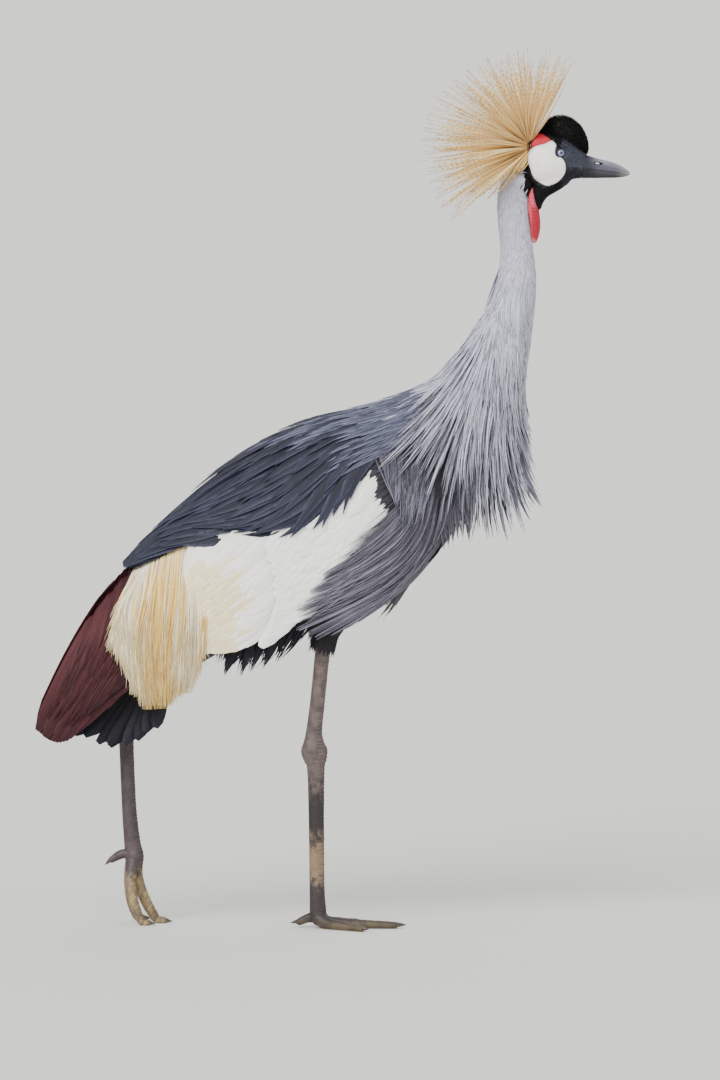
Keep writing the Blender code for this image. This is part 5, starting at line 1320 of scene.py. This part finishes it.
for label, side in SIDES.items():
    for layer, depth in enumerate((-0.034, -0.020)):
        r, c = scatter(110, (0, 0), (1, 1))
        roots = spread(RUMP_ROOTS, r) + 0.006 * chance.normal(size=(r.size, 2))
        tips = spread(RUMP_TIPS, np.clip(about(r, 0.05, r), 0, 1))
        places = straight(roots, roots + (tips - roots) * (0.75 + 0.25 * c)[:, None], 6)
        feathers(f"rump_{layer}_{label}", "belly_black", draped(places, side, (depth, depth, depth), 0.0012),
                 0.0060,
                 "belly", thick=0.0008, roll=0.2, home=(r, c))

s, angle = scatter(1500, (2.4, -180), (11.4, 180))
keep = (np.abs(angle) > 95) | (s < 5.0)
s, angle = s[keep], angle[keep]
length = spread_by(s, ((2.4, 0.03), (5.0, 0.055), (11.0, 0.05))) * some(0.8, 0.4, s)
paths = backward(s, angle, length, 0, 5, (-0.004, 0.002, 0.005, 0.007), cloak=False)
feathers("under_coat", "belly_black", paths, 0.0045, "belly", thick=0.0007, home=(s, angle))
BELLY_ROOTS = metres((-1400, 4150), (-1100, 4250), (-800, 4320), (-450, 4400), (-50, 4470))
BELLY_TIPS = metres((-1420, 3220), (-1280, 3180), (-1040, 3120), (-660, 3340), (-220, 3620))
THIGH_STEPS, THIGH_RING = 120, 64
for label, side in SIDES.items():
    r, c = scatter(330, (0, 0), (1, 1))
    roots = spread(BELLY_ROOTS, r) + 0.010 * chance.normal(size=(r.size, 2))
    drawn, own = locks(r[:, None], 9.0, 0.8, 0.3)
    tips = roots + (spread(BELLY_TIPS, drawn[:, 0]) - roots) * (0.62 + 0.18 * own + 0.22 * c)[:, None]
    places = straight(roots, tips, 8, about(0.08, 0.03, r))
    paths = draped(places, side, (-0.020, -0.016, -0.014, -0.012), 0.0020, some(-0.012, 0.02, r))
    feathers("belly_locks_" + label, "belly_black", paths, 0.0030, "belly", LOCK, 0.0007, roll=0.3,
             home=(r, c),
             tone=(0.5 * own + 0.5 * c, 0))
    grid = limb_grid(THIGHS[label], THIGH_STEPS, THIGH_RING)
    middle = grid.mean(1)
    t, turn = scatter(650, (0.0, 0.0), (0.96, 1.0))
    way_down = t[:, None] + 0.30 * np.linspace(0, 1, 5)
    index = np.clip((np.clip(way_down, 0, 1) * THIGH_STEPS).astype(int), 0, THIGH_STEPS)
    column = ((turn % 1.0) * THIGH_RING).astype(int)[:, None] % THIGH_RING
    up = unit(grid[index, column] - middle[index])
    path = grid[index, column] + up * (np.array((-0.003, 0.0008, 0.002, 0.003, 0.0032)))[:, None]
    path = path + np.maximum(way_down - 1, 0)[..., None] * 0.10 * unit(middle[-1] - middle[-8])
    feathers("thigh_coat_" + label, "thigh_black", (path, up), 0.0028, "thigh", thick=0.0006, home=(t, turn))

# %% [markdown]
# Face
# Short close feathers cover the lores, chin and nape. They grow away from the bill and keep clear of the
# bare cheek: one whose tip would cross it is made shorter, and left out if it still does.

# %% Face feathers
FLOW_FROM = np.array((0.328, 0.0, 0.958))


def skin_spots(count, wanted):
    """Even random places on the skin's faces, with the way out of the skin at each."""
    size = len(skin.data.polygons)
    middles, ways, areas = np.zeros(3 * size), np.zeros(3 * size), np.zeros(size)
    for key, numbers in (("center", middles), ("normal", ways), ("area", areas)):
        skin.data.polygons.foreach_get(key, numbers)
    weight = areas * wanted(middles.reshape(-1, 3))
    picked = chance.choice(size, min(count, int((weight > 0).sum())), replace=False, p=weight / weight.sum())
    return middles.reshape(-1, 3)[picked], ways.reshape(-1, 3)[picked]


def grown(roots, ways, length, lifts):
    """Paths away from the bill that keep to the skin, and the skin's way out along them."""
    path, up, place, way = [roots + ways * lifts[0]], [ways], roots, ways
    for lift in lifts[1:]:
        flow = unit(place - FLOW_FROM)
        flow = unit(flow - way * np.sum(flow * way, -1, keepdims=True))
        ahead = place + flow * (length / (len(lifts) - 1))[:, None]
        found = [head_tree.find_nearest(Vector(spot))[:2] for spot in ahead]
        place, way = (np.array([pair[k] for pair in found]) for k in (0, 1))
        path.append(place + way * lift)
        up.append(way)
    return np.stack(path, 1), np.stack(up, 1)


def on_face(places):
    return (places[:, 2] > 0.895) & (places[:, 0] > black_from(places[:, 2]) - 0.005) & (places[:,
                                                                                                0] < 0.3200)


def bare_there(places):
    return np.maximum(inside(places[:, [0, 2]], CHEEK), inside(places[:, [0, 2]], RED_PATCH))


root, way = skin_spots(int(5200 * DENSE), on_face)
root = root + 0.0006 * chance.normal(size=root.shape)
eye_gap = np.linalg.norm(root * (1, 0, 1) - EYE_MIDDLE * (1, 0, 1), axis=1)
keep = ((bare_there(root) < -0.0004) | (np.abs(root[:, 1]) < 0.0025)) & (eye_gap > 0.0072)
root, way = root[keep], way[keep]
length = np.interp(root[:, 0], (0.24, 0.28, 0.32), (0.0085, 0.0065, 0.0040)) * some(0.8, 0.4, root)
lifts = (-0.0012, 0.0006, 0.0010, 0.0013)
covers = bare_there(grown(root, way, length, lifts)[0][:, -1]) > 0
paths = grown(root, way, np.where(covers, 0.45, 1.0) * length, lifts)
clear = bare_there(paths[0][:, -1]) < 0.0006
ahead = root[:, 0] > about(0.2885, 0.0015, root)
high = root[:, 2] > about(mouth_height(root[:, 0]), 0.001, root)
grey = root[:, 0] < black_from(root[:, 2])
home = np.arctan2(root[:, 1], root[:, 2] - 0.957), root[:, 0]
for tint, slot, chosen, coat in (
        ("black", "face_black", ~ahead & ~grey, "face"), ("lore", "face_black", ahead & high, "lore"),
        ("jaw", "face_black", ahead & ~high, "jaw"), ("nape", "neck_grey", grey, "neck")):
    feathers("face_" + tint, slot, paths, 0.0008, coat, thick=0.0003, home=home, chosen=chosen & clear)

# %% [markdown]
# Velvet cap
# The forehead bulges in a cap of black velvet: thousands of tiny feathers that stand nearly upright and lean
# back.

# %% Velvet cap
CAP_ROWS = metres(
    (2590, 9945, 10, 12), (2615, 9955, 35, 45), (2660, 9975, 70, 100), (2735, 9985, 135, 150),
    (2860, 9965, 185, 182), (2985, 9915, 202, 180), (3082, 9860, 178, 155), (3140, 9812, 142, 120),
    (3170, 9778, 98, 85), (3182, 9758, 50, 45), (3185, 9752, 8, 8),
)


def on_cap(share, turn, lift=0.0):
    row = spread(CAP_ROWS, share)
    turn = np.radians(turn)
    high, wide = row[..., 2] + lift, row[..., 3] + lift
    return np.stack([row[..., 0] + 0 * turn, wide * np.sin(turn), row[..., 1] + high * np.cos(turn)], -1)


cap_grid = on_cap(np.linspace(0, 1, 70)[:, None], np.linspace(0, 360, 64, endpoint=False)[None], -0.0016)
cap = loft("cap_skin", cap_grid, hide_finish("cap_skin_finish", (4, 4, 5), 0.001, 0.4, 0.3))
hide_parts("crown_cap")
share, turn = scatter(7200, (0.04, -1), (0.985, 1), 1.0)
turn = turn * (132 + 36 * smooth_step(share, 0.5, 0.85))
root = on_cap(share, turn, -0.0018)
outward = unit(on_cap(share, turn, 0.004) - root + np.stack([0.0035 * (share - 0.45), 0 * share, 0 * share],
                                                            -1))
lean = unit(outward + np.array((-0.55, 0.0, 0.15)) + 0.22 * chance.normal(size=outward.shape))
length = some(0.0032, 0.0016, share)
path = root[:, None] + lean[:, None] * (length[:, None, None] * np.linspace(0, 1, 3)[None, :, None])
up = np.broadcast_to(outward[:, None] + np.array((0.3, 0, 0)), path.shape)
feathers("cap_velvet_coat", "cap_velvet", (path, up), 0.00045, "velvet", THREAD, 0.0002, home=(share, turn))

# %% [markdown]
# Crest
# Each bristle is a stiff, thin strip about twelve centimetres long. It is flat in the mesh, and its twist
# shows only as painted light and shade bands. They all start on the pad and spread over a wide fan, upright
# in front and nearly level behind, so the crown looks like a golden half ball.

# %% Crest pad and bristles
PAD_MIDDLE, PAD_SIZE = np.array((0.2450, 0.0, 0.9755)), np.array((0.0110, 0.0190, 0.0240))
polar, turn = np.linspace(0.03, math.pi - 0.03, 40)[:, None], circle(56)[None]
ball = np.stack([np.sin(polar) * np.cos(turn), np.sin(polar) * np.sin(turn), np.cos(polar) + 0 * turn], -1)
pad_finish = hide_finish("pad_finish", (120, 82, 40), 0.001, 0.6, 0.5)
pad = loft("crest_pad", PAD_MIDDLE - (0.002, 0, 0) + PAD_SIZE * 0.36 * ball, pad_finish)
CREST_MIDDLE, CREST_FAN, CREST_SIDE, CREST_LENGTH = 142.0, 82.0, 51.0, 0.131
count = int(680 * DENSE)
turn = CREST_MIDDLE + CREST_FAN * (2 * chance.random(count) - 1)
tilt = CREST_SIDE * np.sign(chance.random(count) - 0.5) * chance.random(count) ** 0.8
turn, tilt = np.radians(turn), np.radians(tilt)
short = chance.random(count) < 0.12
turn = np.where(short, np.radians(some(222, 36, turn)), turn)
way = np.stack([np.cos(turn) * np.cos(tilt), np.sin(tilt), np.sin(turn) * np.cos(tilt)], -1)
length = CREST_LENGTH * (0.84 + 0.18 * chance.random(count) ** 0.7)
length = np.where(short, length * (0.62 - 0.35 * smooth_step(turn, math.radians(225), math.radians(256))),
                  length)
start = PAD_MIDDLE + PAD_SIZE * way * 0.45
end = np.array((0.2405, 0.0, 0.9740)) + way * length[:, None]
t = np.linspace(0, 1, 8)[None, :, None]
bend = 0.0022 * chance.normal(size=(count, 1, 3)) * t * (1 - t) * 4 + np.array((0, 0, -0.004)) * t**2
path = start[:, None] + (end - start)[:, None] * t + bend
up = unit(np.cross(way, np.cross(chance.normal(size=way.shape), way)))[:, None] + 0 * path
tract = feathers("crest_bristles", "crest_gold", (path, up), 0.0010, "crest", BRISTLE, 0.0007,
                 home=(turn, tilt))
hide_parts("crest")

# %% [markdown]
# Legs
# A crane's leg is a bare shank, a swollen ankle and a long tarsus. Its front carries a row of overlapping
# horn plates, so each plate is a real step in the surface, painted darker at the step as painted shade, and
# mud has dried in bands on the lower part. Each row is a place and the half widths, and each claw has its
# way, its length and its half width.

# %% Shanks, tarsi, toes and claws
LEG_ROWS = {
    "right": metres(
        (-85, -340, 3797, 108, 92), (-100, -330, 3600, 100, 88), (-130, -300, 3350, 93, 85),
        (-180, -260, 2850, 93, 85), (-220, -230, 2500, 100, 90), (-225, -215, 2360, 125, 110),
        (-220, -210, 2240, 165, 120), (-205, -200, 2110, 140, 110), (-200, -195, 2000, 110, 90),
        (-195, -165, 1500, 98, 80), (-190, -130, 900, 95, 80), (-185, -110, 450, 95, 85),
        (-175, -95, 220, 105, 95), (-170, -95, 120, 100, 95), (-165, -95, 60, 60, 60),
    ),
    "left": metres(
        (-803, 383, 3790, 108, 90), (-903, 390, 3750, 98, 90), (-1300, 420, 3560, 88, 85),
        (-1900, 460, 3215, 88, 85), (-2320, 480, 2930, 96, 90), (-2475, 485, 2810, 128, 106),
        (-2560, 485, 2730, 150, 112), (-2590, 485, 2580, 125, 105), (-2580, 480, 2400, 95, 88),
        (-2560, 475, 1850, 90, 80), (-2535, 465, 1350, 93, 80), (-2500, 455, 1000, 105, 85),
        (-2480, 450, 860, 120, 100), (-2472, 448, 760, 108, 98), (-2470, 448, 690, 80, 78),
        (-2470, 448, 650, 30, 30),
    ),
}
TOES = {
    "right": {
        "middle": metres((-175, -95, 140, 100), (-40, -105, 70, 88), (220, -125, 52, 68),
                         (500, -145, 46, 62), (780, -155, 35, 48)),
        "outer": metres((-175, -115, 130, 95), (-40, -205, 62, 80), (160, -345, 46, 62),
                        (360, -485, 33, 46)),
        "inner": metres((-175, -75, 130, 90), (-40, 15, 60, 78), (120, 145, 45, 60), (290, 265, 33, 46)),
        "hind": metres((-185, -85, 140, 85), (-300, -65, 120, 62), (-410, -45, 70, 44)),
    },
    "left": {
        "middle": metres((-2480, 450, 790, 105), (-2440, 445, 560, 82), (-2345, 435, 300, 68),
                         (-2230, 425, 90, 60), (-2175, 420, 40, 53), (-2110, 415, 30, 48)),
        "outer": metres((-2490, 465, 790, 98), (-2540, 565, 540, 76), (-2525, 645, 290, 64),
                        (-2465, 680, 85, 56), (-2425, 695, 38, 50), (-2375, 710, 30, 46)),
        "inner": metres((-2485, 430, 790, 95), (-2520, 325, 550, 74), (-2485, 235, 300, 62),
                        (-2405, 188, 85, 54), (-2360, 176, 38, 50), (-2310, 164, 30, 46)),
        "hind": metres((-2500, 445, 860, 85), (-2630, 435, 870, 60), (-2760, 425, 800, 44)),
    },
}
CLAWS = {
    "right": {"middle": ((1.0, -0.02, 0.10), 0.015, 0.0040), "outer": ((0.8, -0.55, 0.05), 0.012, 0.0036),
              "inner": ((0.8, 0.55, 0.05), 0.012, 0.0036), "hind": ((-1.0, 0.15, -0.10), 0.011, 0.0034)},
    "left": {"middle": ((1.0, -0.05, -0.05), 0.011, 0.0038), "outer": ((0.9, 0.3, -0.05), 0.010, 0.0036),
             "inner": ((0.9, -0.2, -0.05), 0.010, 0.0036), "hind": ((-0.8, 0.0, -0.60), 0.011, 0.0034)},
}
MUD = ((0.0, 0.8), (0.046, 0.75), (0.066, 0.05), (0.100, 0.05), (0.124, 0.9), (0.160, 0.9), (0.190, 0.0))


def dapple(places, size):
    """A soft uneven pattern from 0 to 1, summed from waves that run in many directions."""
    ways = unit(chance.normal(size=(11, 3))) * (np.linspace(0.6, 2.2, 11) * 2 * math.pi / size)[:, None]
    waves = np.sin(places @ ways.T + 2 * math.pi * chance.random(11))
    return smooth_step(waves.sum(1), -3.6, 3.6)


for label in SIDES:
    parts, painted_step_shades = [], []
    shapes = {"leg": (LEG_ROWS[label], 520, 40, 0.07, 0.0048, 0.0)}
    for toe, rows in TOES[label].items():
        end, wide = rows[-1, :3], rows[-1, 3]
        way = unit(end - rows[-2, :3])
        rows = np.vstack([rows, (*(end + way * 0.0026), wide * 0.72), (*(end + way * 0.0042), wide * 0.25)])
        shapes[toe] = (np.column_stack([rows, rows[:, 3] * 0.94]), 130, 28, 0.10, 0.0032, 0.09)
    for toe, (rows, steps, ring, bumps, pitch, pads) in shapes.items():
        t = np.linspace(0, 1, steps + 1)[:, None]
        joints = 3.0 if label == "left" or toe != "hind" else 2.0
        scale = 1 + pads * (np.cos(2 * math.pi * joints * t) * 0.5 - 0.3)
        grid = limb_grid(rows, steps, ring, scale, bumps, pitch)
        parts.append(loft("leg_part", grid, leg_finish))
        # Painted shade: the front darkens at each step between plates.
        saw = (run_of(grid.mean(1)) / pitch) % 1.0
        front = smooth_step(np.cos(circle(ring)), 0.0, 0.5)
        painted_step_shades.append((smooth_step(np.abs(saw - 0.5), 0.34, 0.5)[:, None] * front[None]).ravel())
    leg = joined("leg_" + label, parts)
    places, crease = points_of(leg), np.concatenate(painted_step_shades)
    places[:, 2] = np.maximum(places[:, 2], 0.0002)
    move_points(leg, places)
    patchy, fine, grain = dapple(places, 0.028), dapple(places, 0.009), dapple(places, 0.004)
    z = places[:, 2]
    ragged = z + 0.014 * (dapple(places, 0.020) - 0.5) + 0.012 * (grain - 0.5)
    uneven = 0.4 * patchy + 0.3 * fine + 0.3 * grain
    worn = (1 - smooth_step(ragged, 0.052, 0.072)) * (0.45 + 0.55 * patchy)
    dry = smooth_step(ragged, 0.055, 0.070) * (1 - smooth_step(ragged, 0.104, 0.118))
    if label == "right":
        tints = painted((64, 54, 53), ((100, 86, 82), uneven), ((124, 104, 80), dry),
                        ((24, 18, 15), spread_by(ragged, MUD)),
                        ((84, 70, 50), (1 - smooth_step(z, 0.005, 0.014)) * (0.4 + 0.6 * patchy)))
    else:
        tints = painted((50, 41, 42), ((74, 62, 62), uneven), ((122, 100, 72), worn),
                        ((150, 138, 82), worn * smooth_step(fine, 0.6, 0.95) * 0.8))
    # The last layer is painted shade at the plate steps.
    keep_tint(leg, painted(tints, ((26, 22, 20), 0.55 * crease)))
    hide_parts("shank_" + label, "tarsus_" + label, "foot_" + label)
    for toe, (way, length, half) in CLAWS[label].items():
        way = unit(np.array(way))
        start = TOES[label][toe][-1, :3] - way * 0.003
        t, turn = np.linspace(0, 1, 30)[:, None], circle(24)[None]
        middle = start + way * (length + 0.003) * t + np.array((0, 0,
                                                                1.0)) * 0.0016 * (4 * t * (1 - t)) * (1 - t)
        flat_way = unit(np.cross(way, (0, 0, 1.0)))
        over = np.cross(flat_way, way)
        size = half * 0.92 * (1 - t**1.6) + 0.0003
        claw = middle[:, None] + flat_way * (np.cos(turn) * size * 0.85)[..., None]
        claw = claw + over * (np.sin(turn) * size)[..., None]
        claw[..., 2] = np.maximum(claw[..., 2], 0.0002)
        horn = loft(f"claw_{toe}_{label}_horn", claw, claw_finish)
        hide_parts(f"claw_{toe}_{label}")

# %% [markdown]
# The solids that feathers replace
# Every solid of the frame that holds plumage is shown by the feathers laid on it, so the wing solids that are
# still shown are hidden here. Everything rides on the one body of the model.

# %% Hide what is replaced and let everything ride
for label in SIDES:
    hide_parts("scapulars_" + label)
    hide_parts("wing_coverts_" + label)
    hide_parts("wing_plumes_" + label)
    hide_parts("secondaries_" + label)
solid_nodes = set(frame["nodes"])
pieces = [o for o in bpy.context.scene.objects if o.type == "MESH" and o.name not in solid_nodes]
for piece in pieces:
    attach(piece, "root")
print("pieces:", len(pieces), "coat feathers:", sum(feather_counts))

# %% [markdown]
# Floor, light and camera
# A plain pale floor runs far out on every side. The lights are suns with wide discs, so that the floor is
# lit evenly and the shadows are soft. The camera looks along +Y from far off, a little above the bird.

# %% Studio
floor_finish, net, shader = new_finish("floor_finish", Roughness=0.85)
shader.inputs["Base Color"].default_value = colour(214, 214, 210)
corners = np.array([(-40.0, -40.0, 0.0), (40.0, -40.0, 0.0), (40.0, 40.0, 0.0), (-40.0, 40.0, 0.0)])
floor = flat_mesh("floor", corners, (np.array([[0, 1, 2, 3]]),), floor_finish)


def soft_light(name, place, strength, spread_angle, tint=(1, 1, 1)):
    """A wide soft light from far off, that shines from a place towards the bird."""
    lamp = bpy.data.lights.new(name, "SUN")
    lamp.energy, lamp.angle, lamp.color = strength, math.radians(spread_angle), tint
    made = bpy.data.objects.new(name, lamp)
    bpy.context.scene.collection.objects.link(made)
    made.location = place
    made.rotation_euler = (-Vector(place)).to_track_quat("-Z", "Y").to_euler()


soft_light("key", (-1.5, -2.8, 2.4), 4.2, 40, (1.0, 0.985, 0.96))
soft_light("fill", (2.6, -2.2, 1.2), 0.9, 70)
soft_light("rim", (0.8, 2.4, 2.2), 0.9, 60)
world = bpy.data.worlds.new("soft_sky")
world.use_nodes = True
sky = world.node_tree.nodes["Background"].inputs
sky[0].default_value, sky[1].default_value = (0.86, 0.87, 0.89, 1), 0.85
bpy.context.scene.world = world
FRAME_MIDDLE, DISTANCE, ELEVATION, FRAME_HIGH = Vector((0.035, 0.0, 0.4856)), 15.0, math.radians(5), 1.346
lens = bpy.data.cameras.new("camera")
lens.sensor_fit, lens.sensor_height = "VERTICAL", 24.0
lens.lens = 24.0 * DISTANCE / FRAME_HIGH
camera = bpy.data.objects.new("camera", lens)
bpy.context.scene.collection.objects.link(camera)
camera.location = FRAME_MIDDLE + DISTANCE * Vector((0, -math.cos(ELEVATION), math.sin(ELEVATION)))
camera.rotation_euler = (FRAME_MIDDLE - camera.location).to_track_quat("-Z", "Y").to_euler()
bpy.context.scene.camera = camera
